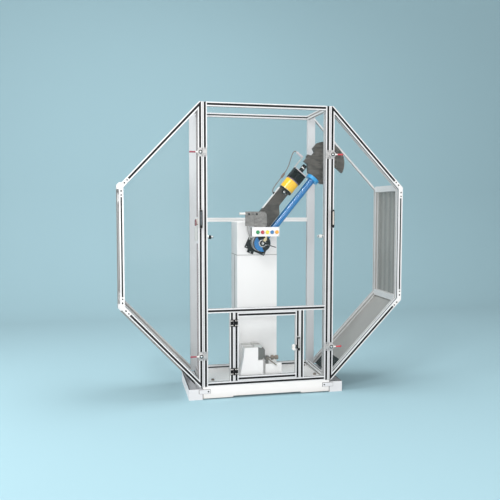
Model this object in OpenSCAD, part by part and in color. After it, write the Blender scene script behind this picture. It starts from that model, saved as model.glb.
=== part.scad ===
// Pendulum impact tester in its octagonal safety guard.
// X runs to the right, Y away from the viewer, Z up. The origin is on the floor, in the guard's middle.
// The pendulum is drawn raised and latched, and all doors are drawn shut.

/* [Guard] */
// Overall width across the side frames
guard_w = 2036; // [1900:2:2400]
// Height of the guard's top above the floor
guard_top = 2058; // [1950:1:2500]
// Depth from the front face to the rear face of the profiles
guard_d = 500; // [480:2:640]
// Height of the upright side between its two corners
side_h = 816; // [600:2:1000]
// Width across the outer faces of the two front posts
portal_w = 910; // [760:2:1100]
// Width of each rear post
rear_post_w = 60; // [30:1:90]
// Side of the square slotted profile
profile = 30; // [24:1:40]
// Width of a profile slot
slot_w = 10; // [6:0.5:12]
// Depth of a profile slot
slot_deep = 9; // [5:0.5:9.5]
// Thickness of the clear windows
window_t = 5; // [3:0.5:6]
// Thickness of the grey side sheets
sheet_t = 3; // [2:0.5:6]
// Length of each black strip at the foot of a sloping side
apron_len = 90; // [40:1:160]
// Distance by which the rear side frames and the sheets stand outside the front ones
rear_grow = 16; // [0:1:20]
// Height of the depth beams at the corners of the sides
corner_beam_h = 45; // [30:1:60]
// Height of the rear cross beam's centre above the floor
rear_beam_z = 1248; // [900:1:1500]

/* [Doors] */
// Gap between a wing door and the post beside it
door_gap = 2.5; // [1.5:0.1:5]
// Gap behind a wing door, to the fixed frame
door_back_gap = 2; // [1:0.1:5]
// Height of each of the two wing hinges above and below the guard's middle
wing_hinge_dz = 330; // [200:1:380]
// Distance from a profile face to a hinge pin's centre
pin_off = 7; // [6:0.5:12]
// Diameter of a hinge pin
pin_d = 5; // [3:0.5:6]
// Outer diameter of a hinge knuckle
knuckle_d = 10; // [8:0.5:14]
// Width of the access door
access_w = 477; // [360:1:600]
// Height of the beam above the access door, at its centre
mid_beam_z = 621; // [500:1:800]
// Gap around the access door
access_gap = 2; // [1:0.1:4]
// Length of a pull handle
handle_len = 130; // [80:1:200]
// Length of the access door's handle
access_handle_len = 103; // [60:1:160]
// Diameter of a handle bar
handle_d = 11; // [8:0.5:16]
// Height of the upper clamp levers above the floor
clamp_hi_z = 1717; // [1500:1:1850]
// Height of the left door's lower clamp lever above the floor
clamp_left_z = 308; // [250:1:450]
// Height of the right door's lower clamp lever above the floor
clamp_right_z = 335; // [250:1:450]
// Height of a clamp's base and of its catch plate on the post
clamp_base_h = 60; // [40:1:80]
// Length of a clamp lever's red tail, from its pin
clamp_tail = 76; // [50:1:110]

/* [Base] */
// Overall width of the base
base_w = 1120; // [1040:2:1400]
// Distance by which the base stands proud of the guard at front and rear
base_lip = 5; // [0:0.5:30]
// Height of the base's cross beams
base_h = 88; // [70:1:140]
// Width of each foot channel
foot_w = 98; // [90:1:160]
// Height of each foot channel
foot_h = 76; // [50:1:100]
// Wall of a foot channel
foot_wall = 8; // [5:0.5:12]
// Depth of each cross beam, front to rear
beam_d = 90; // [60:1:120]
// Thickness of the base plate
plate_t = 40; // [20:1:60]
// Diameter of the floor bolt holes
anchor_d = 18; // [12:0.5:24]
// Distance of the floor bolt holes from the middle, front to rear
anchor_dy = 190; // [120:1:220]

/* [Column] */
// Distance of the whole machine from the guard's middle, to the right
machine_x = -17.5; // [-40:0.5:40]
// Width of the column
column_w = 299; // [240:1:340]
// Depth of the column
column_d = 245; // [180:1:250]
// Distance of the column's middle from the pivot, to the right
column_x = -10; // [-40:1:40]
// Wall of the column
column_wall = 8; // [5:0.5:16]
// Height of the head casting
head_h = 242; // [200:1:300]
// Height of the head's top above the pivot
head_top = 150; // [140:1:180]
// Thickness of the head's front and rear walls
head_wall = 26; // [22:1:40]

/* [Pendulum] */
// Height of the pivot above the floor
pivot_z = 1085; // [1050:1:1300]
// Distance from the guard's front face to the pendulum's plane
plane_d = 120; // [110:1:160]
// Distance from the pendulum's plane to the column's front face
column_gap = 95; // [92:1:120]
// Radius from the pivot to the striking edge
strike_r = 750; // [700:1:800]
// Angle of the latched pendulum from hanging
raise_angle = 140.5; // [120:0.5:150]
// Radius of the hammer disc
hammer_r = 154; // [120:1:170]
// Thickness of the hammer disc
hammer_t = 32; // [20:1:36]
// Diameter of the pendulum tube
tube_d = 50; // [36:1:60]
// Diameter of the tube's end flange
flange_d = 98; // [80:1:120]
// Thickness of the tube's end flange
flange_t = 24; // [12:1:40]
// Radius of the hub
hub_r = 60; // [50:1:70]
// Diameter of the pendulum shaft
shaft_d = 30; // [20:1:36]
// Outer diameter of the shaft bearings
bearing_d = 62; // [52:1:80]
// Width of a shaft bearing
bearing_w = 16; // [12:1:20]
// Length of the pointer, from the pivot
pointer_len = 105; // [70:1:112]

/* [Latch] */
// Thickness of the latch arm, front to rear
arm_t = 60; // [40:1:80]
// Distance of the release's axis from the pendulum's centre line
latch_t = 105; // [96:1:130]
// Diameter of the solenoid can
can_d = 105; // [80:1:116]
// Length of the solenoid can
can_len = 82; // [60:1:110]
// Diameter of the latch plunger
plunger_d = 34; // [16:1:40]
// Travel of the latch plunger
plunger_travel = 20; // [8:1:20]
// Diameter of the latch's lead
latch_lead_d = 6; // [4:0.5:8]
// Diameter of the sensor's lead
sensor_lead_d = 8; // [5:0.5:10]

/* [Controls] */
// Width of the button box
box_w = 200; // [170:1:240]
// Height of the button box
box_h = 66; // [50:1:90]
// Depth of the button box
box_d = 30; // [24:1:34]
// Wall of the button box
box_wall = 3; // [2:0.5:5]
// Diameter of a push button
button_d = 23; // [14:0.5:26]
// Distance between push buttons
button_pitch = 34.8; // [30:0.1:40]
// Height by which a push button stands proud
button_proud = 8; // [5:0.5:12]
// Travel of a push button
button_travel = 4; // [2:0.5:4]

/* [Specimen stand] */
// Clear distance between the two anvils
anvil_span = 40; // [38:0.5:60]
// Side of the square test bar
bar_side = 10; // [5:0.5:15]
// Width of each anvil, front to rear
anvil_w = 40; // [25:1:50]
// Width of each pedestal cheek, front to rear
cheek_w = 53; // [40:1:60]

/* [Hidden] */
$fn = 64;

// Clearances: a running fit, a seated fit, a panel's edge in its slot and a joint between two bars
run_gap = 0.05;
joint_gap = 0.1;
seat_gap = 0.02;
edge_gap = 0.4;

// Planes of the guard, front to rear
front_y = -guard_d / 2;
rear_y = guard_d / 2;
half = profile / 2;
fixed_y = front_y + profile + door_back_gap;
post_d = 2 * profile;
post_back_y = front_y + post_d;
window_y = front_y + half;
base_front_y = front_y - base_lip;

// Corner points of the guard, on the profile centre lines
corner_x = guard_w / 2 - half;
post_out_x = portal_w / 2;
post_in_x = post_out_x - profile;
stile_x = post_out_x + door_gap + half;
rear_in_x = post_in_x + 10;
rear_out_x = rear_in_x + rear_post_w;
ring_bot = base_h + half;
ring_top = guard_top - half;
ring_mid = (ring_bot + ring_top) / 2;
corner_lo = ring_mid - side_h / 2;
corner_hi = ring_mid + side_h / 2;
WING = [[stile_x, ring_bot], [corner_x, corner_lo], [corner_x, corner_hi], [stile_x, ring_top]];
REAR_WING = [for (i = [0 : 3]) ring_point(WING, i, -rear_grow)];

// Doors
door_low_z = base_h + door_gap;
pin_x = guard_w / 2 + pin_off;
pin_y = front_y + profile + door_back_gap / 2;
access_x = access_w / 2;
mullion_x = access_x + access_gap + half;
access_bot = base_h + profile + access_gap;
access_top = mid_beam_z - half - access_gap;
access_pin_x = -access_x - access_gap / 2;
access_pin_y = front_y - knuckle_d / 2 - 1;
hinge_h = 50;
access_hinges = [access_bot + 67, access_top - 72];
handle_z = ring_mid + 188;
handle_out = 30;
clamp_y = front_y - 6;

// Pendulum and column planes
plane_y = front_y + plane_d;
column_front = plane_y + column_gap;
column_back = column_front + column_d;
head_bot = pivot_z + head_top - head_h;
raise = raise_angle - 90;
hub_front = plane_y - 35;
plate_gap = 10;
ring_gap = 12;
hub_back = column_front - plate_gap - ring_gap - 3;
pointer_y = hub_front - 1.5;
pointer_t = 3;
disc_s = strike_r - 6;
disc_t = 8;
tube_end = disc_s - hammer_r - flange_t + 20;

// Bracket and latch arm
arm_front = plane_y - arm_t / 2;
bracket_t = 12;
bracket_front = arm_front - bracket_t;
spacer = [-57.5, 18];
spacer_h = 77;
hanger_t = 4;
box_back = bracket_front - hanger_t;
box_front = box_back - box_d;
box_x = -86;
box_z = pivot_z + 51;
arm_end = strike_r - hammer_r - 198;
can_start = arm_end + 15;
can_end = can_start + can_len;
yoke_len = 84;
plate8 = 8;
yoke_end = can_end + yoke_len;
lug_s = disc_s - 90;
lug_t = latch_t - 5;
plunger_gap = 3;
plunger_end = lug_s - plunger_d / 2 - plunger_gap + latch_t - lug_t;

// Specimen stand
anvil_z = pivot_z - strike_r - bar_side / 2;
cheek_gap = anvil_span / 2 + 2;
pedestal_top = anvil_z + 10;
slide_z = pivot_z - strike_r - 79;
stand_front = plane_y - cheek_gap - 3;

// Routes of the two leads from the pivot: the latch's along the raised pendulum, the sensor's upright
LATCH_ROUTE = [[336, 0, 154.1], [336, 0, 166], [348, 0, 178], [378, 0, 184], [426, 0, 186], [476, 0, 187],
    [526, 0, 192], [566, 0, 202], [602, 0, 217], [632, 0, 228], [654, 0, 233], [668, 0, 231], [672, 0, 223],
    [672, 0, 212.1]];
SENSOR_ROUTE = [[-57.6, 72, 160], [-68, 72, 160], [-80, 72, 153], [-87, 72, 136], [-88, 72, 106],
    [-81, 72, 72], [-72, 73, 48], [-66, 76, 33], [-65, 80, 30], [-65, 84.9, 30]];

// Plane geometry helpers
function unit(v) = v / norm(v);
function side_normal(a, b) = let (u = unit(b - a)) [-u[1], u[0]];
function corner(p, q, r, d) =
    let (m = side_normal(p, q), n = side_normal(q, r)) q + d * (m + n) / (1 + m * n);
function ring_point(ring, i, d) =
    let (n = len(ring)) corner(ring[(i + n - 1) % n], ring[i % n], ring[(i + 1) % n], d);
function at_x(a, b, x) = a + (b - a) * (x - a[0]) / (b[0] - a[0]);

// A prism standing on the X-Z plane, between two depths
module xz_prism(y0, y1) {
    translate([0, y1, 0])
        rotate([90, 0, 0])
            linear_extrude(y1 - y0)
                children();
}

// A box from its lowest to its highest corner
module box(a, b) {
    translate(a)
        cube(b - a);
}

// A round bar along X, Y or Z
module rod_x(x0, x1, y, z, d) {
    translate([x0, y, z])
        rotate([0, 90, 0])
            cylinder(h = x1 - x0, d = d);
}

module rod_y(x, y0, y1, z, d) {
    translate([x, y0, z])
        rotate([-90, 0, 0])
            cylinder(h = y1 - y0, d = d);
}

module rod_z(x, y, z0, z1, d) {
    translate([x, y, z0])
        cylinder(h = z1 - z0, d = d);
}

module both_sides() {
    children();
    mirror([1, 0, 0])
        children();
}

// Section of the slotted profile, one slot to each profile width
module slotted(w, d, front = true, sides = true) {
    difference() {
        square([w, d], center = true);
        if (front)
            for (x = [-w / 2 + half : profile : w / 2 - half + 0.01])
                for (y = [-1, 1])
                    translate([x, y * d / 2])
                        square([slot_w, 2 * slot_deep], center = true);
        if (sides)
            for (y = [-d / 2 + half : profile : d / 2 - half + 0.01])
                for (x = [-1, 1])
                    translate([x * w / 2, y])
                        square([2 * slot_deep, slot_w], center = true);
    }
}

module bar_z(x, y, z0, z1, w = profile, d = profile) {
    translate([x, y, z0])
        linear_extrude(z1 - z0)
            slotted(w, d);
}

module bar_x(x0, x1, y, z) {
    translate([x0, y, z])
        rotate([0, 90, 0])
            linear_extrude(x1 - x0)
                slotted(profile, profile);
}

module bar_y(x, y0, y1, z) {
    translate([x, y0, z])
        rotate([-90, 0, 0])
            linear_extrude(y1 - y0)
                slotted(profile, profile);
}

// A slotted bar in the X-Z plane, cut at its ends by the given outline
module cut_bar(a, b, y, outline, z0, z1) {
    run = norm(b - a);
    turn = atan2(b[1] - a[1], b[0] - a[0]);
    trim = joint_gap / 2 * unit(b - a);
    intersection() {
        translate([a[0], y + half, a[1]])
            rotate([0, 90 - turn, 0])
                translate([0, 0, -3 * profile])
                    linear_extrude(run + 6 * profile)
                        slotted(profile, profile);
        xz_prism(y, y + profile)
            intersection() {
                polygon([outline[0] + trim, outline[1] - trim, outline[2] - trim, outline[3] + trim]);
                translate([0, z0])
                    square([guard_w + 2 * rear_grow, z1 - z0]);
            }
    }
}

// The four mitred bars of a wing door
module wing_ring(y) {
    for (i = [0 : 3])
        cut_bar(WING[i], WING[(i + 1) % 4], y,
            [ring_point(WING, i, -half), ring_point(WING, i + 1, -half),
             ring_point(WING, i + 1, half), ring_point(WING, i, half)],
            door_low_z, guard_top);
}

// The three fixed bars of a wing, which end on a post at x; slim narrows the upper one from outside
module wing_arch(w, y, x, slim = 0) {
    lo_out = corner(w[0], w[1], w[2], -half);
    lo_in = corner(w[0], w[1], w[2], half);
    hi_out = corner(w[1], w[2], w[3], -half);
    hi_in = corner(w[1], w[2], w[3], half);
    hi_top = corner(w[1], w[2], w[3], slim - half);
    lo_run = w[0] - w[1];
    hi_run = w[3] - w[2];
    cut_bar(w[0], w[1], y,
        [at_x(lo_out, lo_out + lo_run, x), lo_out, lo_in, at_x(lo_in, lo_in + lo_run, x)],
        base_h, guard_top);
    cut_bar(w[1], w[2], y, [lo_out, hi_out, hi_in, lo_in], base_h, guard_top);
    cut_bar(w[2], w[3], y,
        [hi_top, at_x(hi_top, hi_top + hi_run, x), at_x(hi_in, hi_in + hi_run, x), hi_in],
        base_h, guard_top);
}

// A clear window seated in slots, from the inner edges of its frame
seat = slot_deep - edge_gap;
module window(x0, x1, z0, z1, y) {
    box([x0 - seat, y - window_t / 2, z0 - seat], [x1 + seat, y + window_t / 2, z1 + seat]);
}

// A frame laid along the raised pendulum: X runs out from the pivot, Z up and to the left
module raised() {
    translate([0, plane_y, pivot_z])
        rotate([0, -raise, 0])
            children();
}

// The machine stands beside the guard's middle
module machine() {
    translate([machine_x, 0, 0])
        children();
}

module base_frame() {
    color("white") {
        for (side = [-1, 1])
            foot(side);
        for (side = [-1, 1])
            cross_beam(side);
    }
}

module foot(side) {
    x0 = side > 0 ? base_w / 2 - foot_w : -base_w / 2;
    y1 = -base_front_y;
    difference() {
        box([x0, -y1, 0], [x0 + foot_w, y1, foot_h]);
        box([x0 + foot_wall, -y1 + foot_wall, foot_wall],
            [x0 + foot_w - foot_wall, y1 - foot_wall, foot_h + 1]);
        for (y = [-1, 1])
            rod_z(x0 + foot_w / 2, y * anchor_dy, -1, foot_wall + 1, anchor_d);
    }
}

// A cross beam with a pad under each end and a lifting lug on its outer face
module cross_beam(side) {
    x1 = base_w / 2 - foot_w - joint_gap;
    y0 = side < 0 ? base_front_y : -base_front_y - beam_d;
    face = side < 0 ? base_front_y - 6 : -base_front_y;
    pad = 214;
    box([-x1, y0, 16], [x1, y0 + beam_d, base_h]);
    for (x = [-x1, x1 - pad])
        box([x, y0, 8], [x + pad, y0 + beam_d, 16]);
    if (side < 0)
        for (x = [-1, 1])
            difference() {
                scale([x, 1, 1]) {
                    box([x1 - 50, face, 44], [x1, face + 6, 70]);
                    box([x1 - 1, face, 44], [x1 + 26, face + 6 - joint_gap, 70]);
                }
                rod_y(x * (x1 - 38), face - 1, face + 7, 57, 12);
            }
}

module base_plate() {
    x1 = base_w / 2 - foot_w;
    y1 = -base_front_y - beam_d;
    color("whitesmoke")
        box([-x1, -y1, base_h - plate_t], [x1, y1, base_h]);
}

module base_bolts() {
    y1 = -base_front_y - beam_d + 22;
    color("silver")
        for (p = [[24 - post_in_x, y1], [post_in_x - 24, y1], [57 - post_in_x, -85], [post_in_x - 20, -85]])
            translate([p[0], p[1], base_h]) {
                cylinder(h = 3, d = 26);
                translate([0, 0, 3])
                    cylinder(h = 8, d = 21, $fn = 6);
            }
}

module column() {
    x0 = column_x - column_w / 2;
    color("white")
        difference() {
            box([x0, column_front, base_h], [x0 + column_w, column_back, head_bot]);
            box([x0 + column_wall, column_front + column_wall, base_h - 1],
                [x0 + column_w - column_wall, column_back - column_wall, head_bot + 1]);
        }
}

// The head is a hollow casting, open below, with a bearing seat in its front and rear walls
module column_head() {
    x0 = column_x - column_w / 2;
    top = pivot_z + head_top;
    lip = head_wall - bearing_w;
    color("white")
        difference() {
            box([x0, column_front, head_bot], [x0 + column_w, column_back, top]);
            box([x0 + 12, column_front + head_wall, head_bot - 1],
                [x0 + column_w - 12, column_back - head_wall, top - 12]);
            rod_y(0, column_front - 1, column_back + 1, pivot_z, shaft_d + 10);
            rod_y(0, column_front + lip, column_back - lip, pivot_z, bearing_d);
        }
}

module shaft_bearings() {
    lip = head_wall - bearing_w;
    color("silver")
        for (y = [column_front + lip, column_back - head_wall])
            difference() {
                rod_y(0, y, y + bearing_w, pivot_z, bearing_d - 2 * seat_gap);
                rod_y(0, y - 1, y + bearing_w + 1, pivot_z, shaft_d + 2 * run_gap);
            }
}

module front_posts() {
    color("gainsboro")
        both_sides()
            bar_z(post_in_x + half, front_y + profile, base_h, guard_top, profile, post_d);
    color("whitesmoke")
        for (p = [[-1, clamp_left_z], [-1, clamp_hi_z], [1, clamp_right_z], [1, clamp_hi_z]])
            translate([p[0] * (post_in_x + half), 0, p[1]])
                box([-half + 1, front_y - 4, -clamp_base_h / 2], [half - 1, front_y, clamp_base_h / 2]);
}

module front_beams() {
    color("gainsboro") {
        for (z = [ring_top, mid_beam_z, ring_bot])
            bar_x(-post_in_x, post_in_x, window_y, z);
        both_sides()
            bar_z(mullion_x, window_y, ring_bot + half + joint_gap, mid_beam_z - half - joint_gap);
    }
}

module rear_posts() {
    x = (rear_in_x + rear_out_x) / 2;
    color("whitesmoke")
        both_sides()
            translate([x, rear_y - half, base_h])
                linear_extrude(guard_top - base_h)
                    slotted(rear_post_w, profile, front = false);
}

module rear_beams() {
    color("gainsboro")
        for (z = [ring_top, rear_beam_z, ring_bot])
            bar_x(-rear_in_x, rear_in_x, rear_y - half, z);
}

module front_wing_frames() {
    color("gainsboro")
        both_sides()
            wing_arch(WING, fixed_y, post_out_x);
}

module rear_wing_frames() {
    color("gainsboro")
        both_sides()
            wing_arch(REAR_WING, rear_y - profile, rear_out_x, profile - 14);
}

module depth_beams() {
    color("gainsboro")
        both_sides() {
            for (z = [ring_top, ring_bot])
                bar_y(post_in_x + half, post_back_y, rear_y - profile, z);
            for (p = [REAR_WING[1], REAR_WING[2]])
                xz_prism(fixed_y + profile, rear_y - profile)
                    intersection() {
                        translate(p)
                            square([profile, corner_beam_h], center = true);
                        polygon([for (i = [0 : 3]) ring_point(REAR_WING, i, -half)]);
                    }
        }
}

module fixed_windows() {
    color([0.8, 0.9, 0.95, 0.3]) {
        window(-post_in_x, post_in_x, mid_beam_z + half, ring_top - half, window_y);
        both_sides()
            window(mullion_x + half, post_in_x, ring_bot + half, mid_beam_z - half, window_y);
        window(-rear_in_x, rear_in_x, rear_beam_z + half, ring_top - half, rear_y - half);
        window(-rear_in_x, rear_in_x, ring_bot + half, rear_beam_z - half, rear_y - half);
        both_sides()
            rear_wing_window();
    }
}

// A rear wing's window is held by the post's side slot and by three bars
module rear_wing_window() {
    w = REAR_WING;
    inset = half - seat;
    x = rear_out_x - seat;
    lo = corner(w[0], w[1], w[2], inset);
    hi = corner(w[1], w[2], w[3], inset);
    xz_prism(rear_y - half - window_t / 2, rear_y - half + window_t / 2)
        polygon([at_x(lo, lo + w[0] - w[1], x), lo, hi, at_x(hi, hi + w[3] - w[2], x)]);
}

// Grey sheets close the upright sides and the lower slopes, on the frames' outer faces
sheet_y = fixed_y + profile;
slope_len = norm(REAR_WING[0] - REAR_WING[1]);
apron_end = slope_len - 2 * profile;

module side_sheets() {
    x = REAR_WING[1][0] + half;
    lo = ring_point(REAR_WING, 1, -half);
    hi = ring_point(REAR_WING, 2, -half);
    color("gray")
        both_sides() {
            box([x, sheet_y, lo[1] + joint_gap], [x + sheet_t, rear_y, hi[1]]);
            slope_sheet(17, apron_end - apron_len);
        }
}

// A sheet under the lower slope, measured down the slope from its upper corner
module slope_sheet(u0, u1) {
    turn = atan2(REAR_WING[0][1] - REAR_WING[1][1], REAR_WING[0][0] - REAR_WING[1][0]);
    translate([REAR_WING[1][0], 0, REAR_WING[1][1]])
        rotate([0, -turn, 0])
            box([u0, sheet_y, half], [u1, rear_y, half + sheet_t]);
}

module lower_aprons() {
    color("black")
        both_sides()
            slope_sheet(apron_end - apron_len, apron_end);
}

// One half of a hinge on the pin's axis, with its leaf along +X and its back face at y = pin_back
module hinge_half(zs, pin_back, leaf0, leaf1, pinned) {
    for (z = zs)
        difference() {
            union() {
                cylinder_run(z[0], z[1], knuckle_d);
                box([0, pin_back - 3, z[0]], [leaf0 + 2, pin_back, z[1]]);
                box([0, -3, z[0]], [3, pin_back, z[1]]);
            }
            if (!pinned)
                cylinder_run(z[0] - 1, z[1] + 1, pin_d + 2 * run_gap);
        }
    box([leaf0, pin_back - 3, -hinge_h / 2], [leaf1, pin_back, hinge_h / 2]);
    if (pinned)
        cylinder_run(-hinge_h / 2, hinge_h / 2, pin_d);
}

module cylinder_run(z0, z1, d) {
    translate([0, 0, z0])
        cylinder(h = z1 - z0, d = d);
}

third = hinge_h / 6;
module hinge_fixed(pin_back) {
    hinge_half([[-hinge_h / 2, -third - 0.4], [third + 0.4, hinge_h / 2]], pin_back,
        knuckle_d / 2 + 0.5, profile - 3, true);
}

module hinge_moving(pin_back) {
    hinge_half([[-third, third]], pin_back, knuckle_d / 2 + 0.5, profile - 3, false);
}

wing_hinges = [ring_mid - wing_hinge_dz, ring_mid + wing_hinge_dz];

// On the right wing the leaves lie on the frame's outer face, the fixed one to the rear
module wing_hinge_fixed(z) {
    translate([pin_x, pin_y, z])
        rotate([0, 0, 90])
            hinge_fixed(pin_off);
}

module wing_hinge_moving(z) {
    translate([pin_x, pin_y, z])
        rotate([0, 0, 90])
            mirror([1, 0, 0])
                hinge_moving(pin_off);
}

access_back = front_y - access_pin_y;
module guard_hinges() {
    color("dimgray") {
        both_sides()
            for (z = wing_hinges)
                wing_hinge_fixed(z);
        for (z = access_hinges)
            translate([access_pin_x, access_pin_y, z])
                mirror([1, 0, 0])
                    hinge_fixed(access_back);
    }
}

module bearing_ring() {
    y1 = column_front - plate_gap;
    color("lightgray")
        difference() {
            rod_y(0, y1 - ring_gap, y1, pivot_z, 122);
            rod_y(0, y1 - ring_gap - 1, y1 + 1, pivot_z, shaft_d + 10);
        }
}

// The black plate behind the ring, with a lug on its lower edge
module sensor_plate() {
    y0 = column_front - plate_gap;
    color("black")
        difference() {
            translate([-18, 0, pivot_z - 30])
                rotate([0, 24, 0]) {
                    box([-80, y0, -40], [80, column_front, 40]);
                    box([-50, y0, -64], [-2, column_front, -40]);
                }
            rod_y(0, y0 - 1, column_front + 1, pivot_z, shaft_d + 10);
        }
}

// The bracket on the head's top: a block, the front plate, its stub and the hanger of the button box
module arm_bracket() {
    top = pivot_z + head_top + spacer_h;
    low = pivot_z + 125;
    color("darkgray") {
        box([spacer[0], arm_front, pivot_z + head_top], [spacer[1], column_front + 95, top]);
        xz_prism(bracket_front, arm_front)
            difference() {
                union() {
                    translate([-125.5, low])
                        square([126, top - low]);
                    translate([0.5, low])
                        square([31, top - low - 31]);
                    translate([0.5, top - 31])
                        circle(r = 31);
                }
                for (x = [-98, -42])
                    translate([x, top - 18])
                        circle(d = 15);
                translate([-70, top - 18])
                    circle(d = 7);
            }
        rod_x(-168, -125.5, bracket_front + bracket_t / 2, top - 15, 16);
        box([-60, box_back, box_z + box_h - 21], [20, bracket_front - joint_gap, low + 55]);
    }
}

// The arm sits on the block's top and right faces and carries the release
module latch_arm() {
    color("dimgray")
        difference() {
            raised()
                xz_prism(-arm_t / 2, arm_t / 2)
                    intersection() {
                        polygon(concat(
                            [[arm_end - 400, 154], [arm_end - 400, 33], [arm_end - 167, 33]],
                            [for (i = [1 : 7]) [arm_end - 167 + 65 * i / 8, 54 - 21 * cos(180 * i / 8)]],
                            [[arm_end - 102, 75], [arm_end, 75], [arm_end, 154]]));
                        translate([115, 0])
                            square([arm_end, 154]);
                    }
            box([-200, arm_front - 1, pivot_z],
                [spacer[1], arm_front + arm_t + 1, pivot_z + head_top + spacer_h]);
        }
}

module release_solenoid() {
    color("gold")
        raised()
            difference() {
                rod_x(can_start, can_end, 0, latch_t, can_d);
                rod_x(can_start + 30, can_end + 1, 0, latch_t, plunger_d / 2);
            }
}

// The black flange, the yoke in front of the can, and the holder of the lead's fitting
module latch_yoke() {
    t0 = latch_t - 51;
    t1 = latch_t + 51;
    color("black")
        raised() {
            rod_x(arm_end, can_start, 0, latch_t, can_d - 6);
            difference() {
                union() {
                    box([can_end, -30, t0], [can_end + plate8, 30, t1]);
                    box([yoke_end - plate8, -30, t0], [yoke_end, 30, t1]);
                    for (t = [t0, t1 - plate8])
                        box([can_end, -30, t], [yoke_end, 30, t + plate8]);
                    box([can_end, 22, t0], [yoke_end, 30, t1]);
                }
                rod_x(can_end - 1, can_end + plate8 + 1, 0, latch_t, plunger_d / 2);
                rod_x(yoke_end - plate8 - 1, yoke_end + 1, 0, latch_t, plunger_d + 2 * run_gap);
            }
            box([yoke_end - plate8, -10, t1], [yoke_end + 99, 10, t1 + 6]);
            box([yoke_end + 88, -6, t1 + 6], [yoke_end + 98, 6, t1 + 56]);
        }
}

module latch_plunger() {
    color("black")
        raised() {
            rod_x(can_end - 25, yoke_end - 24, 0, latch_t, plunger_d / 2 - 2 * run_gap);
            rod_x(yoke_end - 24, plunger_end, 0, latch_t, plunger_d);
        }
}

// A tube of eight sides along a route
function ring_of(route, i, d) =
    let (n = len(route),
         u = unit(route[min(i + 1, n - 1)] - route[max(i - 1, 0)]),
         v = unit(cross(u, [0, 1, 0.01])),
         w = cross(v, u))
    [for (k = [0 : 7]) route[i] + d / 2 * (cos(45 * k) * v + sin(45 * k) * w)];

module lead(route, d) {
    n = len(route);
    points = [for (i = [0 : n - 1]) each ring_of(route, i, d)];
    sides = [for (i = [0 : n - 2]) for (k = [0 : 7])
        let (a = 8 * i + k, b = 8 * i + (k + 1) % 8)
        each [[a, b, b + 8], [a, b + 8, a + 8]]];
    first = [for (k = [1 : 6]) [0, k + 1, k]];
    last = [for (k = [1 : 6]) [8 * n - 8, 8 * n - 8 + k, 8 * n - 8 + k + 1]];
    polyhedron(points = points, faces = concat(sides, first, last));
}

module latch_lead() {
    color("rosybrown")
        raised()
            lead(LATCH_ROUTE, latch_lead_d);
}

module sensor_lead() {
    color("lightgray")
        translate([0, plane_y, pivot_z])
            lead(SENSOR_ROUTE, sensor_lead_d);
}

function button_x(i) = box_x + 43 + button_pitch * i;
button_z = box_z + box_h / 2 - 3;

module button_box() {
    color("white")
        difference() {
            box([box_x, box_front, box_z], [box_x + box_w, box_back, box_z + box_h]);
            box([box_x + box_wall, box_front + box_wall, box_z + box_wall],
                [box_x + box_w - box_wall, box_back - box_wall, box_z + box_h - box_wall]);
            for (i = [0 : 4])
                rod_y(button_x(i), box_front - 1, box_front + box_wall + 1, button_z, button_d + 2 * run_gap);
        }
}

module push_button(i) {
    rod_y(button_x(i), box_front - button_proud, box_front + box_wall + 8, button_z, button_d);
}

module button_green() {
    color("seagreen")
        push_button(0);
}

module button_red() {
    color("crimson")
        push_button(1);
}

module button_yellow() {
    color("yellow")
        push_button(2);
}

module button_blue() {
    color("steelblue")
        push_button(3);
}

module button_orange() {
    color("orange")
        push_button(4);
}

// Two cheeks, with room between them for the hammer, and the block beside the front one
module anvil_pedestal() {
    color("white") {
        for (side = [-1, 1])
            cheek(side);
        box([20, stand_front - 32, base_h], [140, stand_front, slide_z - 42]);
    }
}

module cheek(side) {
    y0 = side < 0 ? plane_y - cheek_gap - cheek_w : plane_y + cheek_gap;
    xz_prism(y0, y0 + cheek_w)
        polygon([[-183, base_h], [-39, base_h], [-39, pedestal_top], [-140, pedestal_top],
            [-144, pedestal_top - 60]]);
}

// Each support carries the test bar, and the anvil on it takes the blow
module specimen_anvils() {
    color("slategray")
        for (side = [-1, 1]) {
            y0 = side < 0 ? plane_y - anvil_span / 2 - anvil_w : plane_y + anvil_span / 2;
            xz_prism(y0, y0 + anvil_w)
                polygon([[-39, anvil_z - 83], [-6, anvil_z - 83], [14, anvil_z - 62], [14, anvil_z - 12],
                    [6, anvil_z], [-39, anvil_z]]);
            xz_prism(y0, y0 + anvil_w)
                polygon([[-39, anvil_z + joint_gap], [-bar_side, anvil_z + joint_gap],
                    [-bar_side, pedestal_top + 12], [-68, pedestal_top + 12], [-68, pedestal_top],
                    [-39, pedestal_top]]);
        }
}

// The slide stands on the block, with a spindle for its knob and a pin for its lever
slide_y = stand_front - 18;
lever_y = slide_y - 15;
module centring_slide() {
    color("slategray") {
        difference() {
            union() {
                box([24, slide_y - 10, slide_z - 42], [42, slide_y + 10, slide_z - 14]);
                box([16, slide_y - 15, slide_z - 14], [47, slide_y + 15, slide_z + 14]);
                rod_y(31, lever_y - 17, lever_y, slide_z, 9);
                rod_y(31, lever_y - 6.8, lever_y, slide_z, 18);
            }
            rod_x(15, 48, slide_y, slide_z, 12 + 2 * run_gap);
        }
    }
}

module centring_knob() {
    color("silver") {
        rod_x(20, 80, slide_y, slide_z, 12);
        rod_x(62, 80, slide_y, slide_z, 36);
        rod_x(80, 92, slide_y, slide_z, 22);
        rod_x(92, 115, slide_y, slide_z, 32);
    }
}

module centring_lever() {
    y0 = lever_y - 15;
    color("silver")
        difference() {
            translate([31, 0, slide_z])
                rotate([0, 38, 0]) {
                    rod_y(0, y0, y0 + 8, 0, 22);
                    box([0, y0 + 1, -4], [84, y0 + 7, 4]);
                    translate([88, y0 + 4, 0])
                        sphere(r = 6);
                }
            rod_y(31, y0 - 1, y0 + 9, slide_z, 9 + 2 * run_gap);
        }
}

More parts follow.
